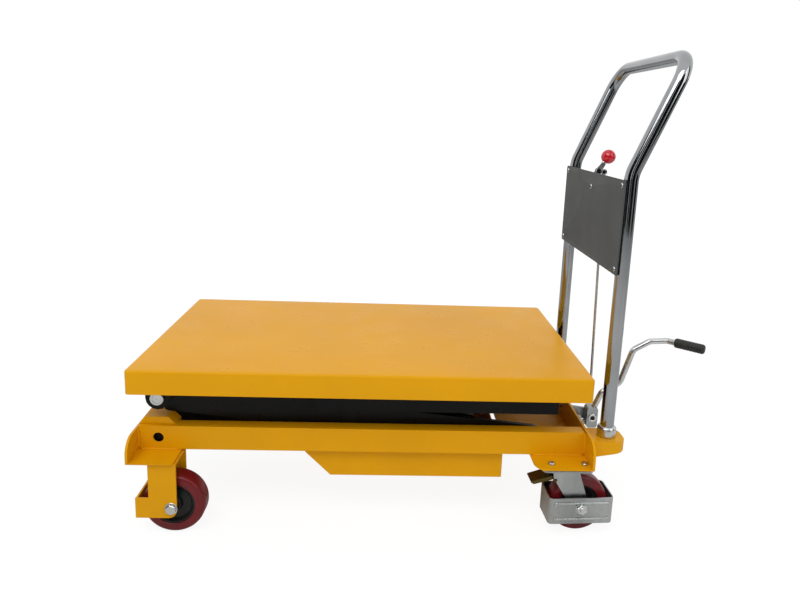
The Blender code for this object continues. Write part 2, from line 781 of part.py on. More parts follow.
def make_front_wheels(bodies):
    top = FOOT_UNDER - GAP
    for side in (-1, 1):
        outer, inner = side * CHEEK_OUTER, side * (CHEEK_OUTER - CHEEK_SPAN)
        cheek = prism(cheek_outline(), "Y", outer, outer - side * SHEET)
        other = prism(cheek_outline(), "Y", inner, inner + side * SHEET)
        cap = slab(
            (CHEEK_LEFT + 0.0005, outer - side * 0.001, top - SHEET),
            (CHEEK_RIGHT - 0.0005, inner + side * 0.001, top - 0.0002),
        )
        toe = slab(
            (TOE_X + 0.0003, outer - side * 0.001, CHEEK_BOTTOM + 0.0003),
            (TOE_X + SHEET, inner + side * 0.001, TOE_TOP - 0.0003),
        )
        bolt = axle_bolt(
            (FRONT_WHEEL_X, 0, WHEEL_R), side, CHEEK_OUTER - 0.0005, CHEEK_OUTER - CHEEK_SPAN + 0.0005,
        )
        part(sided("front_wheel_bracket", side), "yellow_paint", cheek, add=[other, cap, toe, bolt])
        make_wheel(
            sided("front", side), bodies[sided("front_wheel", side)],
            (FRONT_WHEEL_X, side * FRONT_WHEEL_Y, WHEEL_R), WHEEL_WIDTH, HUB_WIDTH, side, None,
        )


def axle_bolt(centre, side, outside, inside):
    """A bolt through two cheeks: a head outside, a shank, and a nut inside, turned as one."""
    head, nut = 0.006, 0.008
    profile = [
        (0, inside - nut), (0.0095, inside - nut), (0.0095, inside), (AXLE_R, inside),
        (AXLE_R, outside), (0.0090, outside), (0.0090, outside + head), (0, outside + head),
    ]
    return turned(profile, centre, (0, side, 0), 12)


def make_wheel(prefix, body, centre, width, hub_width, side, turn):
    """A dished black hub on its axle bore, and the red tyre moulded over it."""
    rim = WHEEL_R - TREAD
    w, h = width / 2, hub_width / 2
    hub = [
        (AXLE_R + RUN, -h), (0.016, -h), (0.018, -w + 0.008), (
            rim - 0.008, -w + 0.008,
        ), (rim - GAP, -w + 0.002),
        (rim - GAP, w - 0.002), (rim - 0.008, w - 0.008), (0.018, w - 0.008), (0.016, h), (AXLE_R + RUN, h),
    ]
    part(f"{prefix}_wheel_hub", "black_nylon", turned(hub, centre, (0, side, 0), 20), body, turn=turn)
    edge = 0.009
    tyre = [(rim, -w)]
    tyre += [
        (WHEEL_R - edge + edge * math.sin(a), -w + edge - edge * math.cos(a))
        for a in (0, 0.8, math.pi / 2)
    ]
    tyre += [(r, -h_) for r, h_ in reversed(tyre[1:])]
    tyre += [(rim, w)]
    part(f"{prefix}_wheel_tyre", "red_tyre", turned(tyre, centre, (0, side, 0), 28), body, turn=turn)


def make_casters(bodies):
    top = FOOT_UNDER - GAP
    race_low = top - SHEET - RACE_HEIGHT
    crown_top = race_low - GAP
    crown_low = crown_top - CROWN
    for side in (-1, 1):
        y = side * SWIVEL_Y
        plate_y = side * (SWIVEL_Y + 0.008)
        x0, x1 = SWIVEL_X - MOUNT_PLATE[0] / 2, SWIVEL_X + MOUNT_PLATE[0] / 2
        x1 = min(x1, REAR_X + PLATE)
        y0, y1 = plate_y - MOUNT_PLATE[1] / 2, plate_y + MOUNT_PLATE[1] / 2
        plate = prism(rounded_box_outline(x0, x1, y0, y1, 0.008, 3), "Z", top - SHEET, top)
        nut_top, pin_low = crown_low - GAP, crown_low - GAP - 0.006
        profile = [
            (0, pin_low), (0.013, pin_low), (0.013, nut_top), (KINGPIN_R, nut_top), (KINGPIN_R, race_low),
            (RACE_R - 0.004, race_low), (RACE_R, race_low + 0.004), (RACE_R, top - SHEET - 0.002),
            (RACE_R - 0.003, top - SHEET + 0.001), (0, top - SHEET + 0.001),
        ]
        fused = [turned(profile, (SWIVEL_X, y, 0), (0, 0, 1), 14)]
        for x, bolt_y in foot_bolt_places(side):
            seat = FOOT_TOP + GAP if abs(bolt_y) > RAIL_OUTER else RAIL_BOTTOM + SHEET + GAP
            low = top - SHEET - 0.004
            profile = [
                (0, low), (BOLT_R, low), (BOLT_R, seat), (BOLT_HEAD_R, seat),
                (BOLT_HEAD_R - 0.002, seat + BOLT_HEAD), (0, seat + BOLT_HEAD),
            ]
            fused.append(turned(profile, (x, bolt_y, 0), (0, 0, 1), 6))
        part(sided("caster_mounting_plate", side), "zinc_plate", plate, add=fused)
        make_swivel(side, bodies, crown_top, crown_low)


def make_swivel(side, bodies, crown_top, crown_low):
    """The turning half of a caster: fork, guard ring, axle and wheel, turned a little about the kingpin."""
    y = side * SWIVEL_Y
    axle_x = SWIVEL_X + TRAIL
    fork_body = bodies[sided("caster", side)]
    turn = Matrix.Translation((SWIVEL_X, y, 0)) @ Matrix.Rotation(
        -side * CASTER_TURN, 4, "Z",
    ) @ Matrix.Translation((-SWIVEL_X, -y, 0))
    leg_in = CASTER_WHEEL_WIDTH / 2 + 0.003
    leg_out = leg_in + LEG_THICK
    crown = prism(
        rounded_box_outline(SWIVEL_X - 0.032, SWIVEL_X + 0.032, y - leg_out, y + leg_out, 0.010, 3), "Z",
        crown_low, crown_top,
    )
    legs = []
    for j in (-1, 1):
        outline = [
            (SWIVEL_X - LEG_TOP_HALF, crown_top - 0.001),
            (SWIVEL_X - LEG_TOP_HALF + 0.002, crown_low - 0.010),
        ]
        outline += arc((axle_x, WHEEL_R), LEG_END_R, 205, 375, 6)
        outline += [
            (SWIVEL_X + LEG_TOP_HALF + 0.004, crown_low - 0.010),
            (SWIVEL_X + LEG_TOP_HALF, crown_top - 0.001),
        ]
        legs.append(prism(outline, "Y", y + j * leg_in, y + j * leg_out))
    pivot_x, pivot_z = SWIVEL_X - PEDAL_PIVOT[0], PEDAL_PIVOT[1]
    cuts = [
        rod((SWIVEL_X, y, crown_low - 0.01), (SWIVEL_X, y, crown_top + 0.01), KINGPIN_R + RUN),
        rod((axle_x, y - 0.04, WHEEL_R), (axle_x, y + 0.04, WHEEL_R), AXLE_R + GAP, 12),
        rod((pivot_x, y - 0.04, pivot_z), (pivot_x, y + 0.04, pivot_z), PEDAL_PIN_R + GAP, 10),
    ]
    part(sided("caster_fork", side), "zinc_plate", crown, fork_body, add=legs, cut=cuts, turn=turn)

    x0, x1 = axle_x - GUARD_LENGTH / 2, axle_x + GUARD_LENGTH / 2
    y0, y1 = y - GUARD_WIDTH / 2, y + GUARD_WIDTH / 2
    wall = GUARD_WALL
    ring = prism(rounded_box_outline(x0, x1, y0, y1, GUARD_CORNER, 3), "Z", GUARD_BOTTOM, GUARD_TOP)
    hollow = prism(
        rounded_box_outline(x0 + wall, x1 - wall, y0 + wall, y1 - wall, GUARD_CORNER - wall, 3), "Z",
        GUARD_BOTTOM - 0.01, GUARD_TOP + 0.01,
    )
    beads = []
    low, high = GUARD_BOTTOM + BEAD_INSET, GUARD_TOP - BEAD_INSET
    for j in (-1, 1):
        face = y + j * GUARD_WIDTH / 2
        for z in (low, high):
            outline = [
                (face - j * 0.001, z - BEAD_WIDTH / 2), (face + j * BEAD_HEIGHT, z - BEAD_WIDTH / 5),
                (face + j * BEAD_HEIGHT, z + BEAD_WIDTH / 5), (face - j * 0.001, z + BEAD_WIDTH / 2),
            ]
            beads.append(prism(outline, "X", x0 + BEAD_INSET, x1 - BEAD_INSET))
    out = GUARD_WIDTH / 2 - 0.0005
    spacer = (leg_out + GAP, GUARD_WIDTH / 2 - wall + 0.0005)
    profile = [
        (0, -out - 0.008), (0.0095, -out - 0.008), (0.0095, -out), (AXLE_R, -out), (AXLE_R, -spacer[1]),
        (0.010, -spacer[1]), (0.010, -spacer[0]), (
            AXLE_R, -spacer[0],
        ), (AXLE_R, spacer[0]), (0.010, spacer[0]),
        (0.010, spacer[1]), (AXLE_R, spacer[1]), (AXLE_R, out), (0.0095, out), (
            0.0095, out + 0.007,
        ), (0, out + 0.007),
    ]
    axle = turned(profile, (axle_x, y, WHEEL_R), (0, side, 0), 12)
    part(
        sided("caster_guard", side), "zinc_plate", ring, fork_body, cut=[hollow], add=[*beads, axle],
        turn=turn, cut_first=True,
    )
    make_wheel(
        sided("caster", side), bodies[sided("caster_wheel", side)], (axle_x, y, WHEEL_R),
        CASTER_WHEEL_WIDTH, 2 * leg_in - 0.001, side, turn,
    )

    # The pedal rocks on a pin between the legs and presses its lip on the tyre
    thick = 0.003
    tread_side = [(pivot_x + 0.010, pivot_z + 0.002), (pivot_x + 0.010, pivot_z + 0.002 + thick)]
    outline = [
        (pivot_x - PEDAL_LENGTH, pivot_z - 0.010), (pivot_x - PEDAL_LENGTH + 0.006, pivot_z - 0.013),
        (pivot_x - 0.006, pivot_z - 0.004), *tread_side, (pivot_x - 0.006, pivot_z + 0.003 + thick),
        (pivot_x - PEDAL_LENGTH, pivot_z - 0.010 + thick),
    ]
    half = min(PEDAL_WIDTH / 2, leg_in - RUN)
    plate = prism(outline, "Y", y - half, y + half)
    pin = rod((pivot_x, y - leg_out, pivot_z), (pivot_x, y + leg_out, pivot_z), PEDAL_PIN_R, 10)
    part(
        sided("brake_pedal", side), "dark_zinc", plate, bodies[sided("brake_pedal", side)], add=[pin],
        turn=turn,
    )


def make_handle():
    points = [
        (TUBE_X, -TUBE_Y, TUBE_BOTTOM), (TUBE_X, -TUBE_Y, LEAN_Z), (TOP_X, -TUBE_Y, TOP_Z),
        (TOP_X, TUBE_Y, TOP_Z), (TUBE_X, TUBE_Y, LEAN_Z), (TUBE_X, TUBE_Y, TUBE_BOTTOM),
    ]
    path = rounded_path(points, [LEAN_BEND, TOP_BEND, TOP_BEND, LEAN_BEND], 5)
    collars = []
    low = BRACKET_TOP + GAP
    for side in (-1, 1):
        profile = [
            (TUBE_R - TUBE_WALL / 2, low), (COLLAR_R, low), (COLLAR_R, low + COLLAR_HEIGHT - 0.003),
            (COLLAR_R - 0.003, low + COLLAR_HEIGHT), (TUBE_R - TUBE_WALL / 2, low + COLLAR_HEIGHT),
        ]
        collars.append(turned(profile, (TUBE_X, side * TUBE_Y, 0), (0, 0, 1), 16))
    part("handle_tube", "chrome", swept(path, TUBE_R, TUBE_R - TUBE_WALL, 12), add=collars)


def handle_brackets():
    """The hollow blocks behind the rear plate that hold the tubes, and the deck that carries the pump's
    tank.
    """
    blocks, cuts = [], []
    start = REAR_X + PLATE - 0.001
    end = start + BRACKET_LENGTH
    for side in (-1, 1):
        y0, y1 = side * TUBE_Y - BRACKET_WIDTH / 2, side * TUBE_Y + BRACKET_WIDTH / 2
        r = BRACKET_CORNER
        outline = [
            (start, y0), *arc((end - r, y0 + r), r, -90, 0, 5), *arc((end - r, y1 - r), r, 0, 90, 5),
            (start, y1),
        ]
        blocks.append(prism(outline, "Z", BRACKET_BOTTOM, BRACKET_TOP))
        w = SHEET
        r = BRACKET_CORNER - w
        pocket = [
            (start + w, y0 + w), *arc((end - w - r, y0 + w + r), r, -90, 0, 5),
            *arc((end - w - r, y1 - w - r), r, 0, 90, 5), (start + w, y1 - w),
        ]
        cuts.append(prism(pocket, "Z", BRACKET_BOTTOM - 0.02, BRACKET_TOP - w))
        cuts.append(
            rod(
                (TUBE_X, side * TUBE_Y, BRACKET_TOP - 0.02), (TUBE_X, side * TUBE_Y, BRACKET_TOP + 0.02),
                TUBE_R + GAP, 20,
            )
        )
        wedge = [
            (start - 0.001, BRACKET_BOTTOM - 0.01), (end + 0.01, BRACKET_BOTTOM - 0.01),
            (end + 0.01, BRACKET_BOTTOM + BRACKET_TAPER), (start - 0.001, BRACKET_BOTTOM + 0.0001),
        ]
        cuts.append(prism(wedge, "Y", y0 - 0.01, y1 + 0.01))
    deck_half = FOOT_INNER + 0.001
    deck = slab(
        (DECK_FROM, -deck_half, FOOT_UNDER + 0.0004), (REAR_X + 0.001, deck_half, FOOT_TOP - 0.0004),
    )
    return [*blocks, deck], cuts


def make_panel():
    low, high = PANEL_Z
    back = TUBE_X - TUBE_R - GAP
    front = back - PANEL_THICK
    half = PANEL_WIDTH / 2
    sheet = prism(rounded_box_outline(-half, half, low, high, 0.004, 2), "X", front, back)
    bolts = []
    places = [(j * TUBE_Y, z) for j in (-1, 1) for z in (low + PANEL_BOLT_INSET, high - PANEL_BOLT_INSET)]
    places.append((0.0, LEVER_PIVOT[1] - 0.036))
    for y, z in places:
        bolts.append(hexagon((front - 0.003, y, z), (front + 0.001, y, z), PANEL_BOLT_R))
    part("control_panel", "panel_grey", sheet, add=bolts)


def make_release(lever_body, rod_body, valve_body):
    px, pz = LEVER_PIVOT
    back = TUBE_X - TUBE_R
    low = PANEL_Z[1] - 0.050
    # A small clevis on the back of the panel holds the lever's pin
    cheeks = []
    for j in (-1, 1):
        outline = [
            (back, low), (back + 0.004, low), (px + 0.006, pz - 0.010),
            *arc((px, pz), LEVER_EAR_R, -30, 200, 5), (back, PANEL_Z[1] - 0.004),
        ]
        cheeks.append(prism(outline, "Y", j * (LEVER_THICK / 2 + RUN), j * (LEVER_THICK / 2 + RUN + 0.003)))
    web = slab(
        (back, -LEVER_THICK / 2 - RUN - 0.001, low + 0.001),
        (back + 0.003, LEVER_THICK / 2 + RUN + 0.001, low + 0.022),
    )
    hole = rod((px, -0.02, pz), (px, 0.02, pz), LEVER_PIN_R + GAP, 10)
    part("lever_bracket", "chrome", cheeks[0], add=[cheeks[1], web], cut=[hole])

    arm_angle = -LEVER_PULL / 2
    tip = (px + LEVER_ARM * math.cos(arm_angle), pz + LEVER_ARM * math.sin(arm_angle))
    plate = prism(bar_outline((px, pz), tip, 0.0042, 5), "Y", -LEVER_THICK / 2, LEVER_THICK / 2)
    pin = rod((px, -LEVER_THICK - 0.001, pz), (px, LEVER_THICK + 0.001, pz), LEVER_PIN_R, 10)
    peg = rod((tip[0], -LEVER_THICK / 2 - 0.006, tip[1]), (tip[0], 0.0, tip[1]), 0.0030, 10)
    direction = Vector((BALL_AT[0] - px, 0, BALL_AT[1] - pz)).normalized()
    stem_end = Vector((BALL_AT[0], 0, BALL_AT[1])) - direction * (BALL_R * 0.55)
    stem = rod((px, 0, pz), stem_end, 0.0032, 10)
    part("release_lever", "chrome", plate, lever_body, add=[pin, peg, stem])
    knob_seat = rod(stem_end - direction * 0.02, stem_end + direction * GAP, 0.0032 + GAP, 10)
    part("release_knob", "red_knob", ball((BALL_AT[0], 0, BALL_AT[1]), BALL_R), lever_body, cut=[knob_seat])

    vx, vz = VALVE_PIVOT
    valve_angle = -LEVER_PULL * LEVER_ARM / VALVE_ARM / 2
    valve_tip = (vx + VALVE_ARM * math.cos(valve_angle), vz + VALVE_ARM * math.sin(valve_angle))
    y = -LEVER_THICK / 2 - 0.003
    eye_in, eye_out = RELEASE_EYE
    eyes = []
    for x, z, up in ((tip[0], tip[1], -1), (valve_tip[0], valve_tip[1], 1)):
        eyes.append(pipe((x, y - 0.0022, z), (x, y + 0.0022, z), eye_out, eye_in, 12))
    line_top = Vector((tip[0], y, tip[1] - (eye_in + eye_out) / 2))
    line_low = Vector((valve_tip[0], y, valve_tip[1] + (eye_in + eye_out) / 2))
    part("release_rod", "bright_steel", rod(line_low, line_top, RELEASE_R, 10), rod_body, add=eyes)

    arm = prism(bar_outline((vx, vz), valve_tip, 0.0050, 5), "Y", -LEVER_THICK / 2, LEVER_THICK / 2)
    peg = rod(
        (valve_tip[0], -LEVER_THICK / 2 - 0.006, valve_tip[1]), (valve_tip[0], 0.0, valve_tip[1]), 0.0030,
        10,
    )
    stub = rod((vx, 0.0, vz), (vx, 0.012, vz), 0.004, 10)
    part("valve_lever", "dark_zinc", arm, valve_body, add=[peg, stub])


def make_pump(plunger_body):
    start = REAR_X + PLATE + GAP
    thick, wide, tall = PUMP_FLANGE
    flange = slab(
        (start, -wide / 2, PUMP_AXIS_Z - 0.020), (start + thick, wide / 2, PUMP_AXIS_Z - 0.020 + tall),
    )
    barrel = rod((start + 0.002, 0, PUMP_AXIS_Z), (PUMP_TO, 0, PUMP_AXIS_Z), PUMP_R, 20)
    sx, sy, _ = SOCKET_HALF
    # An ear behind the pedal socket carries the pedal's pin, and a post carries the valve lever
    ear = prism(
        [
            (start + 0.003, PEDAL_Z - 0.022), (PEDAL_X, PEDAL_Z - 0.012),
            *arc((PEDAL_X, PEDAL_Z), 0.012, -90, 90, 5), (start + 0.003, PEDAL_Z + 0.022),
        ],
        "Y", sy + RUN, sy + RUN + 0.006,
    )
    pin = rod((PEDAL_X, -sy + 0.004, PEDAL_Z), (PEDAL_X, sy + 0.004, PEDAL_Z), SOCKET_BORE - RUN, 12)
    vx, vz = VALVE_PIVOT
    post = slab((start + 0.003, 0.0045, vz - 0.006), (vx + 0.006, 0.0105, vz + 0.006))
    bore = rod((PUMP_TO - 0.024, 0, PUMP_AXIS_Z), (PUMP_TO + 0.01, 0, PUMP_AXIS_Z), PLUNGER_R + GAP, 12)
    valve_hole = rod((vx, -0.02, vz), (vx, 0.03, vz), 0.004 + GAP, 10)
    part("pump_body", "zinc_plate", flange, add=[barrel, ear, pin, post], cut=[bore, valve_hole])
    tip = PEDAL_X - sx - GAP
    part(
        "pump_plunger", "bright_steel",
        rod((tip - 0.016, 0, PUMP_AXIS_Z), (tip, 0, PUMP_AXIS_Z), PLUNGER_R, 12), plunger_body,
    )
    depth, wide, tall = RESERVOIR
    x1 = REAR_X - GAP
    top = FOOT_UNDER - GAP
    tank = prism(rounded_box_outline(x1 - depth, x1, -wide / 2, wide / 2, 0.010, 3), "Z", top - tall, top)
    part("oil_reservoir", "black_paint", tank)
    # The pressure pipe runs forward from the pump to the cylinder's foot
    ear_x = FOOT_PIN_X + EAR_HALF
    z = RAIL_BOTTOM + 0.026
    down_x = ear_x + PIPE_R + GAP
    path = rounded_path(
        [
            (REAR_X - GAP, PIPE_Y, z), (down_x, PIPE_Y, z), (down_x, -EAR_Y - EAR_THICK / 2, FOOT_PIN_Z),
        ], [0.014], 4
    )
    sleeve = rod((ear_x + 0.045, PIPE_Y, z), (ear_x + 0.110, PIPE_Y, z), SLEEVE_R, 14)
    part("pressure_pipe", "bright_steel", swept(path, PIPE_R, None, 10), add=[sleeve])


def make_foot_pedal(body):
    sx, sy, sz = SOCKET_HALF
    block = prism(
        rounded_box_outline(PEDAL_X - sx, PEDAL_X + sx, PEDAL_Z - sz, PEDAL_Z + sz, 0.006, 3), "Y", -sy, sy
    )
    bore = rod((PEDAL_X, -0.03, PEDAL_Z), (PEDAL_X, 0.03, PEDAL_Z), SOCKET_BORE, 16)
    points = [(PEDAL_X + sx / 3, 0, PEDAL_Z + sz * 2 / 3)] + [
        (PEDAL_X + x, 0, PEDAL_Z + z)
        for x, z in PEDAL_PATH
    ]
    path = rounded_path(points, PEDAL_BENDS, 3)
    direction = Vector((math.cos(GRIP_TURN), math.sin(GRIP_TURN), 0))
    start = Vector(points[-1])
    path += [start + direction * 0.014, start + direction * (GRIP_LENGTH - 0.006)]
    part("foot_pedal_rod", "zinc_plate", block, body, add=[swept(path, PEDAL_ROD_R, None, 10)], cut=[bore])
    inner = PEDAL_ROD_R + GAP
    low, high = 0.018, GRIP_LENGTH
    profile = [
        (0, high - 0.005), (
            inner, high - 0.005,
        ), (inner, low), (GRIP_R - 0.003, low), (GRIP_R, low + 0.005),
        (GRIP_R, high - GRIP_ROUND), (GRIP_R - GRIP_ROUND, high), (0, high),
    ]
    part("pedal_grip", "black_rubber", turned(profile, start, direction, 16), body)


def make_cylinder(rod_body, barrel_body):
    """Drawn lying along +X from its foot pin, then turned into place between the foot pin and the cross
    tube.
    """
    eye = along_inner(CYLINDER_CROSS_AT)
    length = math.hypot(eye[0] - FOOT_PIN_X, eye[1] - FOOT_PIN_Z)
    angle = math.atan2(eye[1] - FOOT_PIN_Z, eye[0] - FOOT_PIN_X)
    turn = Matrix.Translation((FOOT_PIN_X, 0, FOOT_PIN_Z)) @ Matrix.Rotation(-angle, 4, "Y")
    seat = FOOT_PIN_R + GAP
    back = seat + HOOK_WALL
    sunk = HOOK_WALL
    half = FOOT_WIDTH / 2
    # Seen along Y after the turn the far side is down, so the hook opens towards +Z here
    hook = [
        (-back, HOOK_LIP), (-seat, HOOK_LIP), (-seat, 0.0), *arc(
            (0, 0), seat, 180, 270, 5,
        )[1:], (BARREL_FROM + sunk, -seat),
        (BARREL_FROM + sunk, -BARREL_R + RUN), (-seat, -BARREL_R + RUN), (-back, -HOOK_LIP),
    ]
    foot = prism(hook, "Y", -half, half)
    tube = [
        (0, BARREL_FROM), (BARREL_R, BARREL_FROM), (BARREL_R, BARREL_TO), (ROD_R + GAP, BARREL_TO),
        (ROD_R + GAP, BARREL_TO - GLAND_LENGTH), (BARREL_BORE_R, BARREL_TO - GLAND_LENGTH),
        (BARREL_BORE_R, BARREL_FROM + 0.012), (0, BARREL_FROM + 0.012),
    ]
    part(
        "cylinder_barrel", "black_paint", turned(tube, (0, 0, 0), (1, 0, 0), 20), barrel_body, add=[foot],
        turn=turn,
    )
    eye_in = CYLINDER_CROSS_R + GAP
    eye_out = eye_in + EYE_WALL
    ring = pipe((length, -EYE_WIDTH / 2, 0), (length, EYE_WIDTH / 2, 0), eye_out, eye_in, 20)
    inner_end = length - ROD_LENGTH
    shaft = rod((inner_end, 0, 0), (length - eye_in - 0.002, 0, 0), ROD_R, 20)
    piston = rod((inner_end - 0.001, 0, 0), (inner_end + PISTON_LENGTH, 0, 0), BARREL_BORE_R - RUN, 20)
    part("piston_rod", "chrome", ring, rod_body, add=[shaft, piston], turn=turn)
    ears = []
    floor = TRAY_BOTTOM + SHEET + GAP
    for j in (-1, 1):
        x0, x1 = FOOT_PIN_X - EAR_HALF, FOOT_PIN_X + EAR_HALF
        outline = [(x0, floor), (x1, floor), *arc((FOOT_PIN_X, FOOT_PIN_Z), 0.017, 0, 180, 6)]
        ears.append(prism(outline, "Y", j * EAR_Y, j * (EAR_Y + EAR_THICK)))
    reach = EAR_Y + EAR_THICK / 2
    pin = rod((FOOT_PIN_X, -reach, FOOT_PIN_Z), (FOOT_PIN_X, reach, FOOT_PIN_Z), FOOT_PIN_R, 16)
    part("cylinder_foot_bracket", "zinc_plate", ears[0], add=[pin, ears[1]])


clear_scene()
AXIS_AT = {}
MATERIALS = {name: make_material(name) for name in COLOURS}
ROOT = joint("lift_table", (0.0, 0.0, 0.0))
ROOT.location = (-MIDDLE_X, 0.0, 0.0)


def main():
    centre = along_inner(ARM_REACH / 2)
    inner = joint("inner_arms", (PIVOT_X, 0, PIVOT_Z), ROOT)
    outer = joint("outer_arms", (centre[0], 0, centre[1]), inner)
    table = joint("table", (PIVOT_X, 0, UPPER_Z), outer)
    make_table(table)
    make_arms(inner, outer)
    rollers = {}
    wheels = {}
    for side in (-1, 1):
        rollers[sided("base_roller", side)] = joint(
            sided("base_roller_axis", side), (ROLLER_X, 0, PIVOT_Z), outer,
        )
        rollers[sided("top_roller", side)] = joint(
            sided("top_roller_axis", side), (ROLLER_X, 0, UPPER_Z), inner,
        )
        wheels[sided("front_wheel", side)] = joint(
            sided("front_wheel_axis", side), (FRONT_WHEEL_X, 0, WHEEL_R), ROOT,
        )
        swivel = joint(sided("caster_swivel", side), (SWIVEL_X, side * SWIVEL_Y, 0), ROOT)
        wheels[sided("caster", side)] = swivel
        wheels[sided("caster_wheel", side)] = joint(
            sided("caster_wheel_axis", side), (SWIVEL_X + TRAIL, side * SWIVEL_Y, WHEEL_R), swivel,
        )
        wheels[sided("brake_pedal", side)] = joint(
            sided("brake_pedal_axis", side), (SWIVEL_X - PEDAL_PIVOT[0], side * SWIVEL_Y, PEDAL_PIVOT[1]),
            swivel,
        )
    make_rollers(rollers)
    make_rails()
    make_end_plates()
    make_tray()
    make_front_wheels(wheels)
    make_casters(wheels)
    make_handle()
    make_panel()
    lever = joint("release_lever_axis", (LEVER_PIVOT[0], 0, LEVER_PIVOT[1]), ROOT)
    release = joint("release_rod_slide", (LEVER_PIVOT[0], 0, LEVER_PIVOT[1]), ROOT)
    valve = joint("valve_lever_axis", (VALVE_PIVOT[0], 0, VALVE_PIVOT[1]), ROOT)
    make_release(lever, release, valve)
    make_pump(joint("plunger_slide", (PEDAL_X, 0, PUMP_AXIS_Z), ROOT))
    make_foot_pedal(joint("foot_pedal_axis", (PEDAL_X, 0, PEDAL_Z), ROOT))
    eye = along_inner(CYLINDER_CROSS_AT)
    piston = joint("piston_rod_axis", (eye[0], 0, eye[1]), inner)
    make_cylinder(piston, joint("barrel_slide", (FOOT_PIN_X, 0, FOOT_PIN_Z), piston))


main()
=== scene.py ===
"""The finished look of the mobile lift table: paint, plating, welds, bolts and light.

Metres, +Z up, +X towards the handle, and the near side faces -Y. Places along X are given from
the middle of the deck, as the part's own are, and at() and on() bring them into the frame.
"""

import json
import math

import bmesh
import bpy
import numpy as np
from mathutils import Matrix, Vector


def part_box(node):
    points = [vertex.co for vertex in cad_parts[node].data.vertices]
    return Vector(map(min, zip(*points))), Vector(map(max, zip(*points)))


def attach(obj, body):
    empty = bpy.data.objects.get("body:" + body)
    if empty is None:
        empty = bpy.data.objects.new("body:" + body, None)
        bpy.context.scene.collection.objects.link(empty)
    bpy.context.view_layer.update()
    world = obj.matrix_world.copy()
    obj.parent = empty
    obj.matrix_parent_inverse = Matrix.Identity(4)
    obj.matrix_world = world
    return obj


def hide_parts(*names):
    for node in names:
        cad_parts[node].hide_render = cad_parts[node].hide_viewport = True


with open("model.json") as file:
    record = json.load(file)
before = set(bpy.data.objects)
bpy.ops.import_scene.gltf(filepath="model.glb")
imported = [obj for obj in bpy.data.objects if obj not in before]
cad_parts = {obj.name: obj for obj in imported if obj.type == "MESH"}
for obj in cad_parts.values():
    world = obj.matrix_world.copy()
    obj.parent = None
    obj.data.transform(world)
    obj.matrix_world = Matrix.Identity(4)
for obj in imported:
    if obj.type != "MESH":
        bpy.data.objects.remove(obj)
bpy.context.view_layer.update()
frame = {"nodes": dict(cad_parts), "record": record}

BODY_OF = {node: body for body, nodes in frame["record"]["behaviour"]["bodies"].items() for node in nodes}
SLOT_OF = {entry["node"]: entry["material_slot"] for entry in frame["record"]["subparts"]}

# The deck's middle lies this far from the middle of the whole object
DECK_X = (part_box("table_top")[0].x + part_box("table_top")[1].x) / 2
SIDES = {"near": -1, "far": 1}

# Heights in the frame are measured from the underside of the side rails
RAIL_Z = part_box("side_rail_near")[0].z

# Wheels: the radius over the tyre and under it, then the tyre's width and half the hub's length for each kind
FRONT_LOW, FRONT_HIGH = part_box("front_near_wheel_tyre")
WHEEL_R = FRONT_HIGH.z / 2
TYRE_DEPTH = 0.0195
RIM_R = WHEEL_R - TYRE_DEPTH
FRONT_SIZE, CASTER_SIZE = (0.040, 0.023), (0.036, 0.0205)

# X and Y of the front axle's middle and of the caster's swivel, with the sign of Y left to SIDES
FRONT_WHEEL = ((FRONT_LOW.x + FRONT_HIGH.x) / 2 - DECK_X, 0.222)
CASTER = (0.4175, 0.207)
TRAIL = 0.0345
CASTER_TURN = math.radians(3.0)

# The caster guard's length, width, underside and top
GUARD = (0.136, 0.068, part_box("caster_guard_near")[0].z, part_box("caster_guard_near")[1].z)

# The handle's upright legs and the radius of its tube
TUBE_X, TUBE_Y, TUBE_R = 0.508, 0.190, 0.014

# The arms' end pins at rest, by X and by height over the rails' underside, and each arm's sheet along Y
ARM_LEFT_X, ARM_RIGHT_X = -0.410, 0.3551
LOW_PIN, HIGH_PIN = 0.025, 0.108
INNER_SHEET, OUTER_SHEET = (0.1505, 0.1595), (0.1655, 0.1745)

# An edge that turns by more than this is a fold or a cut, and one that turns by less is part of a curve
FOLD = math.radians(32)


def at(x, y, z):
    """A point in the frame, whose x is given from the middle of the deck."""
    return (x + DECK_X, y, z)


def on(x, y, height):
    """The same, with a height over the underside of the side rails in place of z."""
    return (x + DECK_X, y, RAIL_Z + height)


# Surfaces

def unit(v):
    return v / np.linalg.norm(v, axis=-1, keepdims=True)


def rounded(points, radii, steps=8):
    """A line through points, each inner corner replaced by an arc that meets both legs at a tangent."""
    points = np.array(points, float)
    runs = [points[:1]]
    for i, radius in enumerate(radii, 1):
        before, after = unit(points[i - 1] - points[i]), unit(points[i + 1] - points[i])
        half = math.acos(np.clip(before @ after, -1, 1)) / 2
        middle = points[i] + unit(before + after) * radius / math.sin(half)
        a = points[i] + before * radius / math.tan(half) - middle
        b = points[i] + after * radius / math.tan(half) - middle
        whole = math.acos(np.clip(a @ b / radius**2, -1, 1))
        share = np.linspace(0, 1, steps + 1)[:, None]
        runs.append(
            middle + (a * np.sin((1 - share) * whole) + b * np.sin(share * whole)) / math.sin(whole)
        )
    runs.append(points[-1:])
    return np.vstack(runs)


def closed_faces(rows, around, loop):
    """Quads between neighbouring closed rings of a grid, with a face on each end unless the rings loop."""
    i = np.arange(rows if loop else rows - 1)[:, None]
    j = np.arange(around)[None, :]
    k = (j + 1) % around
    n = (i + 1) % rows
    quads = np.stack(
        np.broadcast_arrays(i * around + j, n * around + j, n * around + k, i * around + k), -1,
    )
    faces = quads.reshape(-1, 4).tolist()
    if not loop:
        faces += [list(range(around)), list(range((rows - 1) * around, rows * around))]
    return faces


def shell(grid, loop=False):
    rows, around = grid.shape[:2]
    return grid.reshape(-1, 3), closed_faces(rows, around, loop)


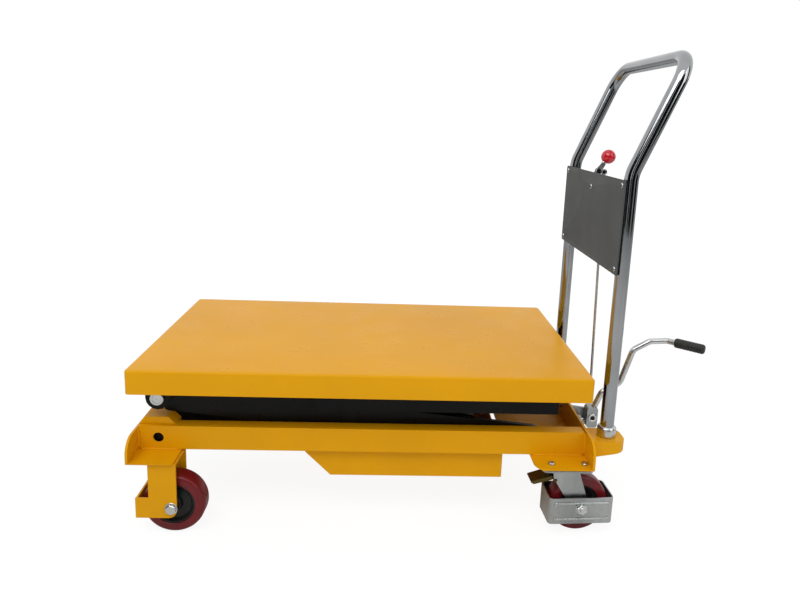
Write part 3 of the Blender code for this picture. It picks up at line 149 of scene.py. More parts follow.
def tube(path, radius, around=24, upright=(1, 0, 0)):
    """Point + radius * (side * cos a + other * sin a), where side is the upright direction less its part
    along the path.
    """
    path = np.array(path, float)
    along = unit(np.gradient(path, axis=0))
    upright = np.array(upright, float)
    side = unit(upright - along * (along @ upright)[:, None])
    other = np.cross(along, side)
    a = np.linspace(0, 2 * np.pi, around, endpoint=False)[None, :, None]
    r = np.broadcast_to(np.asarray(radius, float), (len(path),))[:, None, None]
    return shell(path[:, None] + r * (side[:, None] * np.cos(a) + other[:, None] * np.sin(a)))


def turned(profile, centre, axis=(0, 1, 0), around=64, loop=True):
    """Centre + axis * height + radius * (u * cos a + v * sin a), for each (radius, height) of the
    profile.
    """
    profile = np.array(profile, float)
    axis = unit(np.array(axis, float))
    u = unit(np.cross(axis, (0.3, 0.5, 0.81)))
    v = np.cross(axis, u)
    a = np.linspace(0, 2 * np.pi, around, endpoint=False)[None, :, None]
    r, h = profile[:, 0, None, None], profile[:, 1, None, None]
    return shell(np.array(centre, float) + axis * h + r * (u * np.cos(a) + v * np.sin(a)), loop)


def box_loop(x0, x1, y0, y1, radius, steps=8):
    """The outline of a rectangle with round corners, as (x, y) pairs: four quarter circles joined by
    straight runs.
    """
    t = np.linspace(0, np.pi / 2, steps + 1)
    runs = []
    for turn, cx, cy in ((0, x1, y1), (1, x0, y1), (2, x0, y0), (3, x1, y0)):
        a = t + turn * np.pi / 2
        sx, sy = (1, 1, -1, -1)[(turn + 1) % 4], (1, 1, -1, -1)[turn]
        runs.append(
            np.column_stack([cx - sx * radius + radius * np.cos(a), cy - sy * radius + radius * np.sin(a)])
        )
    return np.vstack(runs)


def plate(outline, y0, y1):
    """A flat sheet: one outline of (x, z) pairs, drawn at two places along Y and closed."""
    outline = np.array(outline, float)
    rings = [np.column_stack([outline[:, 0], np.full(len(outline), y), outline[:, 1]]) for y in (y0, y1)]
    return shell(np.array(rings))


def moved(shape, matrix):
    verts, faces = shape
    matrix = np.array(matrix)
    return verts @ matrix[:3, :3].T + matrix[:3, 3], faces


def piece(name, shapes, finish, body, stands_for=(), sharp=38):
    """One mesh of several closed shapes, riding on a body, with its faces turned out and its edges split
    by angle.
    """
    verts, faces, start = [], [], 0
    for points, polygons in shapes:
        verts.append(points)
        faces += [[start + i for i in polygon] for polygon in polygons]
        start += len(points)
    mesh = bpy.data.meshes.new(name)
    mesh.from_pydata(np.vstack(verts).tolist(), [], faces)
    bm = bmesh.new()
    bm.from_mesh(mesh)
    bmesh.ops.remove_doubles(bm, verts=bm.verts, dist=1e-6)
    bmesh.ops.recalc_face_normals(bm, faces=bm.faces)
    bm.to_mesh(mesh)
    bm.free()
    mesh.shade_smooth()
    mesh.set_sharp_from_angle(angle=math.radians(sharp))
    mesh.materials.append(FINISH[finish])
    obj = bpy.data.objects.new(name, mesh)
    bpy.context.scene.collection.objects.link(obj)
    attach(obj, body)
    if stands_for:
        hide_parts(*stands_for)
    return obj


def soften(obj, width):
    """Round every fold and cut edge, by two segments."""
    edge = obj.modifiers.new("eased edges", "BEVEL")
    edge.width = width
    edge.segments = 2
    edge.limit_method = "ANGLE"
    edge.angle_limit = FOLD
    edge.harden_normals = True


def eased(node, width, finish=None):
    """A node's own shape with its flat faces merged and its edges rounded, in place of the node."""
    mesh = frame["nodes"][node].data.copy()
    bm = bmesh.new()
    bm.from_mesh(mesh)
    bmesh.ops.remove_doubles(bm, verts=bm.verts, dist=1e-5)
    bmesh.ops.dissolve_limit(bm, angle_limit=math.radians(0.6), verts=bm.verts, edges=bm.edges)
    bmesh.ops.recalc_face_normals(bm, faces=bm.faces)
    bm.to_mesh(mesh)
    bm.free()
    mesh.shade_smooth()
    mesh.set_sharp_from_angle(angle=FOLD)
    mesh.materials.clear()
    mesh.materials.append(FINISH[finish or SLOT_OF[node]])
    obj = bpy.data.objects.new("eased_" + node, mesh)
    bpy.context.scene.collection.objects.link(obj)
    soften(obj, width)
    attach(obj, BODY_OF[node])
    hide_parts(node)
    return obj


# Finishes

class Nodes:
    """A material under construction, with its object coordinates at hand."""

    def __init__(self, name, roughness, metallic=0.0, **fixed):
        self.material = bpy.data.materials.new(name)
        self.material.use_nodes = True
        self.tree = self.material.node_tree
        self.shader = self.tree.nodes["Principled BSDF"]
        self.shader.inputs["Roughness"].default_value = roughness
        self.shader.inputs["Metallic"].default_value = metallic
        for socket, value in fixed.items():
            self.shader.inputs[socket.replace("_", " ")].default_value = value
        self.place = self.new("ShaderNodeTexCoord").outputs["Object"]

    def new(self, kind):
        return self.tree.nodes.new(kind)

    def join(self, source, socket):
        self.tree.links.new(source, socket)

    def stretched(self, scale):
        node = self.new("ShaderNodeMapping")
        node.inputs["Scale"].default_value = scale
        self.join(self.place, node.inputs["Vector"])
        return node.outputs["Vector"]

    def noise(self, scale, detail=3.0, rough=0.5, stretch=None):
        node = self.new("ShaderNodeTexNoise")
        node.inputs["Scale"].default_value = scale
        node.inputs["Detail"].default_value = detail
        node.inputs["Roughness"].default_value = rough
        self.join(self.stretched(stretch) if stretch else self.place, node.inputs["Vector"])
        return node.outputs["Fac"]

    def cells(self, scale):
        node = self.new("ShaderNodeTexVoronoi")
        node.inputs["Scale"].default_value = scale
        self.join(self.place, node.inputs["Vector"])
        return node

    def between(self, value, low, high, to_low=0.0, to_high=1.0):
        node = self.new("ShaderNodeMapRange")
        for socket, number in (
            ("From Min", low), ("From Max", high), ("To Min", to_low), ("To Max", to_high),
        ):
            node.inputs[socket].default_value = number
        self.join(value, node.inputs["Value"])
        return node.outputs["Result"]

    def blend(self, share, first, second):
        node = self.new("ShaderNodeMix")
        node.data_type = "RGBA"
        self.join(share, node.inputs[0])
        for socket, colour in ((node.inputs[6], first), (node.inputs[7], second)):
            if isinstance(colour, tuple):
                socket.default_value = (*colour, 1.0)
            else:
                self.join(colour, socket)
        return node.outputs[2]

    def colour(self, source):
        self.join(source, self.shader.inputs["Base Color"])

    def gloss(self, source):
        self.join(source, self.shader.inputs["Roughness"])

    def bump(self, height, strength, distance):
        node = self.new("ShaderNodeBump")
        node.inputs["Strength"].default_value = strength
        node.inputs["Distance"].default_value = distance
        last = self.shader.inputs["Normal"].links
        if last:
            self.join(last[0].from_socket, node.inputs["Normal"])
        self.join(height, node.inputs["Height"])
        self.join(node.outputs["Normal"], self.shader.inputs["Normal"])


def powder_paint(name, light, dark, roughness, specks):
    """Powder coat: a cloudy tone, the skin of an orange in its gloss, and a rare speck of dust."""
    m = Nodes(name, roughness, Specular_IOR_Level=0.12)
    tone = m.blend(m.between(m.noise(5.0, 4.0), 0.35, 0.65), dark, light)
    dots = m.between(m.noise(190.0, 1.0), 0.79, 0.81, 0.0, 0.5)
    m.colour(m.blend(dots, tone, specks))
    m.gloss(m.between(m.noise(14.0, 5.0, 0.6), 0.3, 0.7, roughness - 0.05, roughness + 0.07))
    m.bump(m.noise(420.0, 2.0), 0.10, 0.0004)
    m.bump(m.noise(38.0, 2.0), 0.06, 0.0012)
    return m.material


def plated(name, light, dark, roughness, streak, grain):
    """Zinc plate: crystals of slightly different grey, soft streaks down the sheet and a fine grain."""
    m = Nodes(name, roughness, 1.0)
    crystals = m.cells(grain)
    split = m.new("ShaderNodeSeparateColor")
    m.join(crystals.outputs["Color"], split.inputs["Color"])
    runs = m.noise(16.0, 4.0, 0.55, streak)
    tone = m.blend(m.between(runs, 0.3, 0.7), dark, light)
    tone = m.blend(m.between(split.outputs["Red"], 0.0, 1.0, 0.0, 0.22), tone, dark)
    m.colour(tone)
    m.gloss(m.between(m.noise(30.0, 5.0, 0.65), 0.3, 0.7, roughness - 0.08, roughness + 0.12))
    m.bump(m.noise(900.0, 2.0), 0.08, 0.0002)
    m.bump(runs, 0.05, 0.001)
    return m.material


def chrome():
    """Chrome plate on drawn tube, with faint haze and the long waves left by drawing it."""
    m = Nodes("chrome_plate", 0.07, 1.0)
    m.colour(m.blend(m.between(m.noise(9.0, 4.0), 0.3, 0.7), (0.28, 0.29, 0.30), (0.37, 0.38, 0.39)))
    m.gloss(m.between(m.noise(26.0, 5.0, 0.7), 0.35, 0.75, 0.045, 0.13))
    m.bump(m.noise(45.0, 1.0, 0.5, (1.0, 1.0, 0.25)), 0.02, 0.0006)
    return m.material


def machined(name, tone, worn, roughness):
    """Bare turned steel: fine rings and scratches over a tone that changes slowly."""
    m = Nodes(name, roughness, 1.0)
    m.colour(m.blend(m.between(m.noise(40.0, 4.0, 0.6), 0.35, 0.7), tone, worn))
    m.gloss(m.between(m.noise(160.0, 3.0), 0.3, 0.7, roughness - 0.08, roughness + 0.1))
    m.bump(m.noise(600.0, 2.0, 0.5, (0.3, 1.0, 0.3)), 0.12, 0.0002)
    return m.material


def moulded(name, light, dark, roughness, grain, depth, **fixed):
    """Moulded plastic or rubber: a tone that clouds a little, scuffs that dull it, and the mould's fine
    grain.
    """
    m = Nodes(name, roughness, 0.0, **fixed)
    m.colour(m.blend(m.between(m.noise(22.0, 5.0, 0.6), 0.35, 0.7), dark, light))
    m.gloss(m.between(m.noise(48.0, 5.0, 0.7), 0.3, 0.7, roughness - 0.06, roughness + 0.12))
    m.bump(m.noise(grain, 2.0), 0.15, depth)
    return m.material


FINISH = {
    "yellow_paint": powder_paint(
        "yellow_powder_coat", (0.80, 0.375, 0.002), (0.755, 0.35, 0.002), 0.30, (0.42, 0.20, 0.01),
    ),
    "black_paint": powder_paint(
        "black_gloss_paint", (0.007, 0.007, 0.006), (0.004, 0.004, 0.004), 0.30, (0.06, 0.058, 0.05),
    ),
    "panel_grey": powder_paint(
        "panel_grey_paint", (0.088, 0.094, 0.094), (0.070, 0.076, 0.077), 0.42, (0.16, 0.16, 0.16),
    ),
    "zinc_plate": plated(
        "satin_zinc_plate", (0.46, 0.48, 0.47), (0.31, 0.325, 0.32), 0.38, (1.0, 1.0, 0.12), 170.0,
    ),
    "dark_zinc": plated(
        "olive_zinc_plate", (0.17, 0.125, 0.035), (0.08, 0.058, 0.018), 0.42, (1.0, 1.0, 0.4), 140.0,
    ),
    "bright_zinc": plated(
        "bright_zinc_plate", (0.66, 0.67, 0.66), (0.48, 0.50, 0.50), 0.26, (1.0, 1.0, 1.0), 260.0,
    ),
    "chrome": chrome(),
    "bright_steel": machined("machined_steel", (0.50, 0.50, 0.49), (0.36, 0.355, 0.34), 0.30),
    "red_tyre": moulded(
        "dark_red_polyurethane", (0.20, 0.008, 0.011), (0.12, 0.005, 0.008), 0.30, 320.0, 0.0003,
        Specular_IOR_Level=0.35,
    ),
    "black_nylon": moulded(
        "black_nylon", (0.010, 0.010, 0.010), (0.006, 0.006, 0.006), 0.38, 700.0, 0.0003,
        Specular_IOR_Level=0.3,
    ),
    "red_knob": moulded(
        "red_knob_plastic", (0.60, 0.004, 0.020), (0.54, 0.004, 0.018), 0.12, 500.0, 0.00003,
        Coat_Weight=0.4,
    ),
    "black_rubber": moulded(
        "black_grip_rubber", (0.024, 0.024, 0.023), (0.012, 0.012, 0.012), 0.52, 650.0, 0.0004,
    ),
}


# Sheet metal that keeps its solid's shape, with eased edges

EASED_PAIRS = {
    "side_rail": 0.0012, "front_wheel_bracket": 0.0008, "caster_mounting_plate": 0.0006,
    "caster_fork": 0.0009, "caster_guard": 0.0006, "inner_arm": 0.0010, "outer_arm": 0.0010,
    "brake_pedal": 0.0014, "lower_pivot_pin": 0.0006,
}
# The table's side members and centre pins are painted black whatever their slot says: painted shade for the
# dark under the deck
PAINTED_SHADE_PAIRS = {"table_side_member": 0.0006, "centre_pivot_pin": 0.0006}
EASED_ALONE = {
    "front_end_plate": 0.0010, "rear_end_plate": 0.0010, "bottom_tray": 0.0012, "control_panel": 0.0005,
    "lever_bracket": 0.0005, "pump_body": 0.0008, "oil_reservoir": 0.0015, "cylinder_foot_bracket": 0.0008,
    "valve_lever": 0.0005,
}
for stem, width in EASED_PAIRS.items():
    for label in SIDES:
        eased(f"{stem}_{label}", width)
# Painted shade: the pieces under the deck go black
for label in SIDES:
    for stem, width in PAINTED_SHADE_PAIRS.items():
        eased(f"{stem}_{label}", width, "black_paint")
for node, width in EASED_ALONE.items():
    eased(node, width)


# Deck

def deck():
    """A folded pan as one skin: up the outside, over the bend, across the top, and back down the inside."""
    low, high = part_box("table_top")
    corner, bend, sheet = 0.008, 0.004, 0.004
    lip, fillet, least_corner = 0.0006, 0.001, 0.0012
    shoulder, middle = 0.020, 0.12
    ceiling = high.z - sheet
    t = np.linspace(0, np.pi / 2, 7)
    inset = np.concatenate([[lip, 0.0], bend - bend * np.cos(t), [shoulder, middle]])
    z = np.concatenate([[low.z, low.z + lip], high.z - bend + bend * np.sin(t), [high.z, high.z]])
    under_inset = np.array([middle, shoulder, sheet + fillet, sheet, sheet, sheet - lip])
    under_z = np.array([ceiling, ceiling, ceiling, ceiling - fillet, low.z + lip, low.z])

    def rings(insets, rises):
        stack = []
        for i, rise in zip(insets, rises):
            radius = max(corner - i, least_corner)
            outline = box_loop(low.x + i, high.x - i, low.y + i, high.y - i, radius)
            stack.append(np.column_stack([outline, np.full(len(outline), rise)]))
        return np.array(stack)

    outside, inside = rings(inset, z), rings(under_inset, under_z)
    both = np.concatenate([outside, inside])
    rows, around = both.shape[:2]
    faces = closed_faces(rows, around, True)
    last = len(inset) - 1
    faces = [f for f in faces if not (min(f) // around == last and max(f) // around == last + 1)]
    faces.append(list(range(last * around, (last + 1) * around)))
    faces.append(list(range((last + 1) * around, (last + 2) * around)))
    piece(
        "folded_deck", [(both.reshape(-1, 3), faces)], "yellow_paint", "table",
        ["table_top"], 30,
    )


deck()


# Scissor arms and their pins

def arm_belly(name, body, foot, head, across, sheet):
    """The deeper middle of an arm: a sheet along its line from foot to head. Across, +1 or -1, names its
    side.
    """
    foot, head = np.array(foot), np.array(head)
    along = unit(head - foot)
    outward = np.array([-along[1], along[0]]) * across
    reach = np.linalg.norm(head - foot)
    inner, depth, edge = 0.008, 0.0375, 0.0235
    start, slope, end = 0.006, reach - 0.155, reach - 0.055
    steps = [(start, inner), (start, depth), (slope, depth), (end, edge), (end, inner)]
    corners = [0.010, 0.080, 0.002]
    outline = rounded([foot + s * along + h * outward for s, h in steps], corners)
    soften(piece(name, [plate(outline, *sheet)], "black_paint", body), 0.0008)


def upper_pin(label, side):
    """A pin through the outer arm's head, with a small washer face outside."""
    node = f"upper_pivot_pin_{label}"
    low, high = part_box(node)
    centre = ((low.x + high.x) / 2, 0, (low.z + high.z) / 2)
    start, end = sorted((abs(low.y), abs(high.y)))
    shank, head, dish = 0.0118, 0.0135, 0.0090
    seat, recess = end - 0.006, end - 0.0006
    profile = [
        (0, start), (shank - 0.0004, start), (shank, start + 0.0005), (shank, seat), (head, seat),
        (head, end - 0.001), (head - 0.0009, end), (dish, end), (dish - 0.0004, recess), (0, recess),
    ]
    shape = turned(profile, centre, (0, side, 0), 48, False)
    piece(f"round_{node}", [shape], "bright_zinc", BODY_OF[node], [node])


def painted_hole_shade(label, side):
    """A black disc behind the round hole in the rail's web: painted shade for the dark inside of the rail."""
    radius, inner, outer = 0.0170, 0.1940, 0.1955
    profile = [(0, inner), (radius, inner), (radius, outer), (0, outer)]
    disc = turned(profile, on(ARM_LEFT_X, 0, LOW_PIN), (0, side, 0), 48, False)
    # The black disc is painted shade, not a part of the rail
    piece(f"rail_hole_back_{label}", [disc], "black_paint", "base")


for label, side in SIDES.items():
    left, right = ARM_LEFT_X + DECK_X, ARM_RIGHT_X + DECK_X
    low, high = RAIL_Z + LOW_PIN, RAIL_Z + HIGH_PIN
    inner, outer = ([side * y for y in sheet] for sheet in (INNER_SHEET, OUTER_SHEET))
    arm_belly(f"inner_arm_belly_{label}", "inner_arms", (left, low), (right, high), 1, inner)
    arm_belly(f"outer_arm_belly_{label}", "outer_arms", (left, high), (right, low), -1, outer)
    upper_pin(label, side)
    painted_hole_shade(label, side)


# Handle, its collars and what hangs on it

def handle():
    """The tube, bent at its four corners, and the collar round each of its feet."""
    top_x, foot, lean, top = 0.602, 0.017, 0.584, 0.8118
    bends = [0.070, 0.056, 0.056, 0.070]
    points = [
        on(TUBE_X, -TUBE_Y, foot), on(TUBE_X, -TUBE_Y, lean), on(top_x, -TUBE_Y, top),
        on(top_x, TUBE_Y, top), on(TUBE_X, TUBE_Y, lean), on(TUBE_X, TUBE_Y, foot),
    ]
    path = rounded(points, bends, 14)
    piece("bent_handle_tube", [tube(path, TUBE_R, 40)], "chrome", "base", ["handle_tube"])
    bore, wide, seat = TUBE_R - 0.001, 0.0195, 0.0393
    profile = [
        (bore, seat), (wide - 0.0005, seat), (wide, seat + 0.0005), (wide, 0.0560), (0.0188, 0.0585),
        (0.0170, 0.0605), (0.0152, 0.0620), (bore, 0.0623),
    ]
    collars = [turned(profile, on(TUBE_X, side * TUBE_Y, 0), (0, 0, 1), 48) for side in SIDES.values()]
    piece("handle_collars", collars, "bright_zinc", "base")


def lever():
    """The release lever's ball with its flat seat, the short neck under it and the strap up to the neck."""
    ball, pivot = np.array(on(0.524, 0, 0.608)), np.array(on(0.503, 0, 0.577))
    up = unit(ball - pivot)
    radius, flat = 0.0158, 0.35
    t = np.linspace(-np.pi / 2 + flat, np.pi / 2, 22)
    profile = np.column_stack([radius * np.cos(t), radius * np.sin(t)])
    profile = np.vstack([[(0.0, -radius * math.cos(flat))], profile])
    profile[-1, 0] = 0.0
    shape = turned(profile, ball, up, 48, False)
    piece("lever_ball", [shape], "red_knob", "release_lever", ["release_knob"])
    neck = [(0.0, -0.024), (0.0045, -0.024), (0.0050, -0.0215), (0.0050, -0.0155), (0.0, -0.0155)]
    foot, tip = (pivot + 0.002 * up)[[0, 2]], (ball - 0.017 * up)[[0, 2]]
    foot_half, tip_half, near_face, far_face = 0.0065, 0.0042, -0.0055, -0.0033
    out = np.array([-up[2], up[0]])
    strap = [foot + foot_half * out, foot - foot_half * out, tip - tip_half * out, tip + tip_half * out]
    shapes = [turned(neck, ball, up, 24, False), plate(strap, near_face, far_face)]
    piece("lever_neck", shapes, "bright_zinc", "release_lever")


handle()
lever()
eased("release_lever", width=0.0004)
eased("release_rod", width=0.0003)


def bolt_head(centre, axis, radius, height, washer=0.0, stud=0.0):
    """A hexagon with its top corners eased, on a round washer, and the rounded end of its thread beyond
    it.
    """
    shapes = []
    start = 0.0
    if washer:
        shapes.append(
            turned(
                [(0, 0), (washer, 0), (washer, 0.0010), (washer - 0.0004, 0.0014), (0, 0.0014)], centre,
                axis, 32, False,
            )
        )
        start = 0.0012
    head = [
        (0, start), (radius, start), (radius, start + height * 0.8), (radius - 0.0014, start + height),
        (0, start + height),
    ]
    shapes.append(turned(head, centre, axis, 6, False))
    if stud:
        r = radius * 0.52
        rings = np.arange(0, stud - 0.0012, 0.0006)
        thread = np.column_stack(
            [r + 0.00022 * np.cos(np.arange(len(rings)) * np.pi), start + height - 0.001 + rings]
        )
        end = [(r - 0.0008, start + height - 0.001 + stud), (0, start + height - 0.001 + stud)]
        shapes.append(turned(np.vstack([[(0, start)], [(r, start)], thread, end]), centre, axis, 24, False))
    return shapes


def panel_bolts():
    """Low round heads at the panel's corners, in line with the tubes, and one in its middle near the
    top.
    """
    low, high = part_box("control_panel")
    from_edge, from_top, face = 0.011, 0.032, low.x + 0.0031
    spots = [(y, z) for y in (-TUBE_Y, TUBE_Y) for z in (low.z + from_edge, high.z - from_edge)]
    spots.append((0.0, high.z - from_top))
    dome = [
        (0.0, 0.0), (0.0056, 0.0), (0.0056, 0.0006), (0.0050, 0.0017), (0.0036, 0.0025), (0.0018, 0.0029),
        (0.0, 0.0030),
    ]
    shapes = [turned(dome, (face, y, z), (-1, 0, 0), 24, False) for y, z in spots]
    piece("panel_screw_heads", shapes, "bright_zinc", "base")


panel_bolts()


# Wheels

def wheel(name, body, centre, width, hub_half, side, turn=None):
    """A tyre with soft shoulders round a dished hub, both turned about the axle."""
    w, soft = width / 2, 0.009
    t = np.linspace(0, np.pi / 2, 9)
    shoulder = np.column_stack([WHEEL_R - soft + soft * np.sin(t), -w + soft - soft * np.cos(t)])
    mirror = shoulder[::-1] * (1, -1)
    tyre = np.vstack(
        [
            [(RIM_R, -w + 0.0008), (RIM_R + 0.0008, -w)], shoulder, mirror,
            [(RIM_R + 0.0008, w), (RIM_R, w - 0.0008)],
        ]
    )
    dish = [
        (0.0066, -hub_half), (0.0140, -hub_half), (
            0.0150, -hub_half + 0.001,
        ), (0.0175, -w + 0.0075), (0.0195, -w + 0.0085),
        (
            RIM_R - 0.0090, -w + 0.0080,
        ), (RIM_R - 0.0070, -w + 0.0065), (RIM_R - 0.0035, -w + 0.0020), (RIM_R - 0.0003, -w + 0.0016),
    ]
    hub = np.vstack([dish, np.array(dish[::-1]) * (1, -1)])
    for part, profile, finish in (("tyre", tyre, "red_tyre"), ("hub", hub, "black_nylon")):
        shape = turned(profile, at(*centre), (0, side, 0), 96)
        if turn is not None:
            shape = moved(shape, turn)
        piece(f"{name}_round_{part}", [shape], finish, body, [f"{name}_wheel_{part}"], 34)


def caster_turn(side):
    """The small turn about its swivel at which each caster stands."""
    y = side * CASTER[1]
    there = Matrix.Translation(at(CASTER[0], y, 0))
    return there @ Matrix.Rotation(-side * CASTER_TURN, 4, "Z") @ there.inverted()


for label, side in SIDES.items():
    front = (FRONT_WHEEL[0], side * FRONT_WHEEL[1], WHEEL_R)
    back = (CASTER[0] + TRAIL, side * CASTER[1], WHEEL_R)
    wheel(f"front_{label}", f"front_wheel_{label}", front, *FRONT_SIZE, side)
    wheel(f"caster_{label}", f"caster_wheel_{label}", back, *CASTER_SIZE, side, caster_turn(side))


def front_bolts(label, side):
    """The zinc bolt head outside the front bracket and its nut inside."""
    cheek, span, sunk = 0.256, 0.068, 0.0004
    outer, inner = side * cheek, side * (cheek - span)
    head_place = at(FRONT_WHEEL[0], outer - side * sunk, WHEEL_R)
    nut_place = at(FRONT_WHEEL[0], inner + side * sunk, WHEEL_R)
    shapes = bolt_head(head_place, (0, side, 0), 0.0112, 0.0056, 0.0125)
    shapes += bolt_head(nut_place, (0, -side, 0), 0.0115, 0.0078, 0.0130)
    piece(f"front_axle_bolt_{label}", shapes, "bright_zinc", "base")


def guard_trim(label, side):
    """The nuts on the caster's axle, and the two long beads pressed in each side of the guard."""
    length, width, low, high = GUARD
    x, y = CASTER[0] + TRAIL, side * CASTER[1]
    shapes = []
    for out in (-1, 1):
        face = y + out * width / 2
        shapes += bolt_head(
            at(x, face - out * 0.0003, WHEEL_R), (0, out, 0), 0.0115, 0.0072, 0.0128, 0.0045,
        )
    turn = caster_turn(side)
    piece(
        f"caster_axle_nuts_{label}", [moved(s, turn) for s in shapes], "bright_zinc", f"caster_{label}",
    )
    beads = []
    left, right = x - length / 2 + 0.012, x + length / 2 - 0.010
    from_edge, turn_in, corner, radius, proud = 0.0110, 0.005, 0.0042, 0.0020, 0.0005
    for out in (-1, 1):
        face = y + out * (width / 2 + proud)
        for rise, way in ((high - from_edge, -1), (low + from_edge, 1)):
            tip = rise + way * turn_in
            points = [(left, face, tip), (left, face, rise), (right, face, rise), (right, face, tip)]
            path = rounded([at(*p) for p in points], [corner, corner], 6)
            beads.append(moved(tube(path, radius, 12, (0, 1, 0)), turn))
    piece(f"guard_beads_{label}", beads, "bright_zinc", f"caster_{label}")


for label, side in SIDES.items():
    front_bolts(label, side)
    guard_trim(label, side)


def foot_bolts(label, side):
    """Round button heads that hold the caster's plate under the rear foot."""
    along, across, middle = 0.034, 0.025, CASTER[1] + 0.008
    rail_edge, on_foot, on_flange = 0.205, -0.0001, 0.0042
    radius, height, socket = 0.0072, 0.0044, 0.0030
    t = np.linspace(0, np.pi / 2, 7)
    dome = np.column_stack([radius / 2 + radius / 2 * np.cos(t), height / 2 + height / 2 * np.sin(t)])
    profile = np.vstack([[(0, 0), (radius, 0)], dome, [(0.0034, height), (socket, socket), (0, socket)]])
    shapes = []
    for x in (CASTER[0] - along, CASTER[0] + along):
        for inward in (-across, across):
            y = side * (middle + inward)
            seat = RAIL_Z + (on_foot if abs(y) > rail_edge else on_flange)
            shapes.append(turned(profile, at(x, y, seat), (0, 0, 1), 32, False))
    piece(f"rear_foot_bolts_{label}", shapes, "bright_zinc", "base")


for label, side in SIDES.items():
    foot_bolts(label, side)


# Round pieces that the solids draw with few sides

def rollers():
    """Each roller turned round, its rim eased and a shallow groove in each end."""
    bore = 0.0088
    for label in SIDES:
        for kind in ("base_roller", "top_roller"):
            node = f"{kind}_{label}"
            lo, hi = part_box(node)
            r, half = (hi.z - lo.z) / 2, (hi.y - lo.y) / 2
            centre = ((lo.x + hi.x) / 2, (lo.y + hi.y) / 2, (lo.z + hi.z) / 2)
            profile = [
                (bore, -half), (r - 0.006, -half), (r - 0.006, -half + 0.0006), (r - 0.004, -half + 0.0006),
                (r - 0.004, -half), (r - 0.002, -half), (r, -half + 0.002),
            ]
            profile = np.vstack([profile, np.array(profile[::-1]) * (1, -1)])
            shape = turned(profile, centre, (0, 1, 0), 64)
            piece(f"round_{node}", [shape], "bright_steel", BODY_OF[node], [node])


def cross_tubes():
    """The tubes between the arms, turned round and open at both ends."""
    wall = 0.0025
    for node in ("cylinder_cross_tube", "inner_tie_tube", "outer_upper_tie_tube", "outer_lower_tie_tube"):
        lo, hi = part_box(node)
        r, half = (hi.z - lo.z) / 2, (hi.y - lo.y) / 2
        centre = ((lo.x + hi.x) / 2, 0, (lo.z + hi.z) / 2)
        profile = [(r - wall, -half), (r, -half), (r, half), (r - wall, half)]
        shape = turned(profile, centre, (0, 1, 0), 48)
        piece(f"round_{node}", [shape], "black_paint", BODY_OF[node], [node])


rollers()
cross_tubes()
for node in ("cylinder_barrel", "piston_rod", "pump_plunger", "pressure_pipe"):
    eased(node, width=0.0004)


# Foot pedal

# Where the rod turns to hold the grip, and by how much it turns
GRIP_START, GRIP_TURN = (0.705, 0, 0.183), math.radians(-42.0)


def pedal_rod():
    """A bent rod up from the socket, whose last straight is level and turned sideways."""
    x, y, z = GRIP_START
    reach = 0.079
    points = [
        (0.543, 0, 0.007), (0.560, 0, 0.051), (0.602, 0, 0.077), (0.626, 0, 0.159), (0.664, 0, 0.181),
        GRIP_START, (x + reach * math.cos(GRIP_TURN), y + reach * math.sin(GRIP_TURN), z),
    ]
    bends = [0.020, 0.024, 0.022, 0.020, 0.008]
    path = rounded([on(*p) for p in points], bends, 10)
    piece("bent_pedal_rod", [tube(path, 0.0071, 28, (0, 1, 0))], "bright_zinc", "foot_pedal")
    eased("foot_pedal_rod", 0.0006, "zinc_plate")


def pedal_socket():
    """A ring on the near face of the rod's socket, round a black disc at the back of its bore that is painted
    shade for the dark hole.
    """
    middle = on(0.539, 0, -0.009)
    bore, radius, back, front = 0.0052, 0.0105, 0.0126, 0.0158
    ring = [
        (bore, back), (radius, back), (
            radius, front - 0.0008,
        ), (radius - 0.001, front), (bore + 0.001, front),
        (bore, front - 0.0008),
    ]
    piece("socket_ring", [turned(ring, middle, (0, -1, 0), 32)], "bright_zinc", "foot_pedal")
    # The black disc is painted shade for the depth of the socket's hole
    core_r, core_front = bore - 0.0001, back + 0.001
    core = turned(
        [(0, back), (core_r, back), (core_r, core_front), (0, core_front)], middle, (0, -1, 0), 32, False,
    )
    piece("socket_hole_shade", [core], "black_nylon", "foot_pedal")


def pedal_grip():
    """A grip whose radius falls by a half sine at each rib, by a root at the mouth and by an ellipse at
    the end.
    """
    start, end, bore, hollow = 0.018, 0.0842, 0.0072, 0.078
    radius, mouth_r, end_r = 0.0113, 0.0087, 0.0067
    mouth, crown, crown_reach = 0.004, 0.0787, 0.0056
    rib_depth, rib_step, first_rib = 0.00045, 0.0062, 0.027
    h = np.linspace(start, end, 150)
    ribbed = (h > first_rib) & (h < hollow)
    ribs = rib_depth * np.maximum(0, np.sin((h - start) * 2 * np.pi / rib_step)) * ribbed
    ellipse = np.sqrt(np.clip(1 - ((h - crown) / crown_reach) ** 2, 0, 1))
    root = np.sqrt(np.clip((h - start) / mouth, 0, 1))
    body = np.where(h > crown, end_r + (radius - end_r) * ellipse, radius)
    body = np.where(h < start + mouth, mouth_r + (radius - mouth_r) * root, body)
    skin = np.column_stack([body - ribs, h])
    profile = np.vstack([[(bore, start)], skin, [(0.0, end)], [(0.0, hollow)], [(bore, hollow)]])
    direction = (math.cos(GRIP_TURN), math.sin(GRIP_TURN), 0)
    shape = turned(profile, on(*GRIP_START), direction, 48)
    piece("ribbed_pedal_grip", [shape], "black_rubber", "foot_pedal", ["pedal_grip"])


pedal_rod()
pedal_socket()
pedal_grip()


# Weld beads: a small fillet whose radius ripples along its run

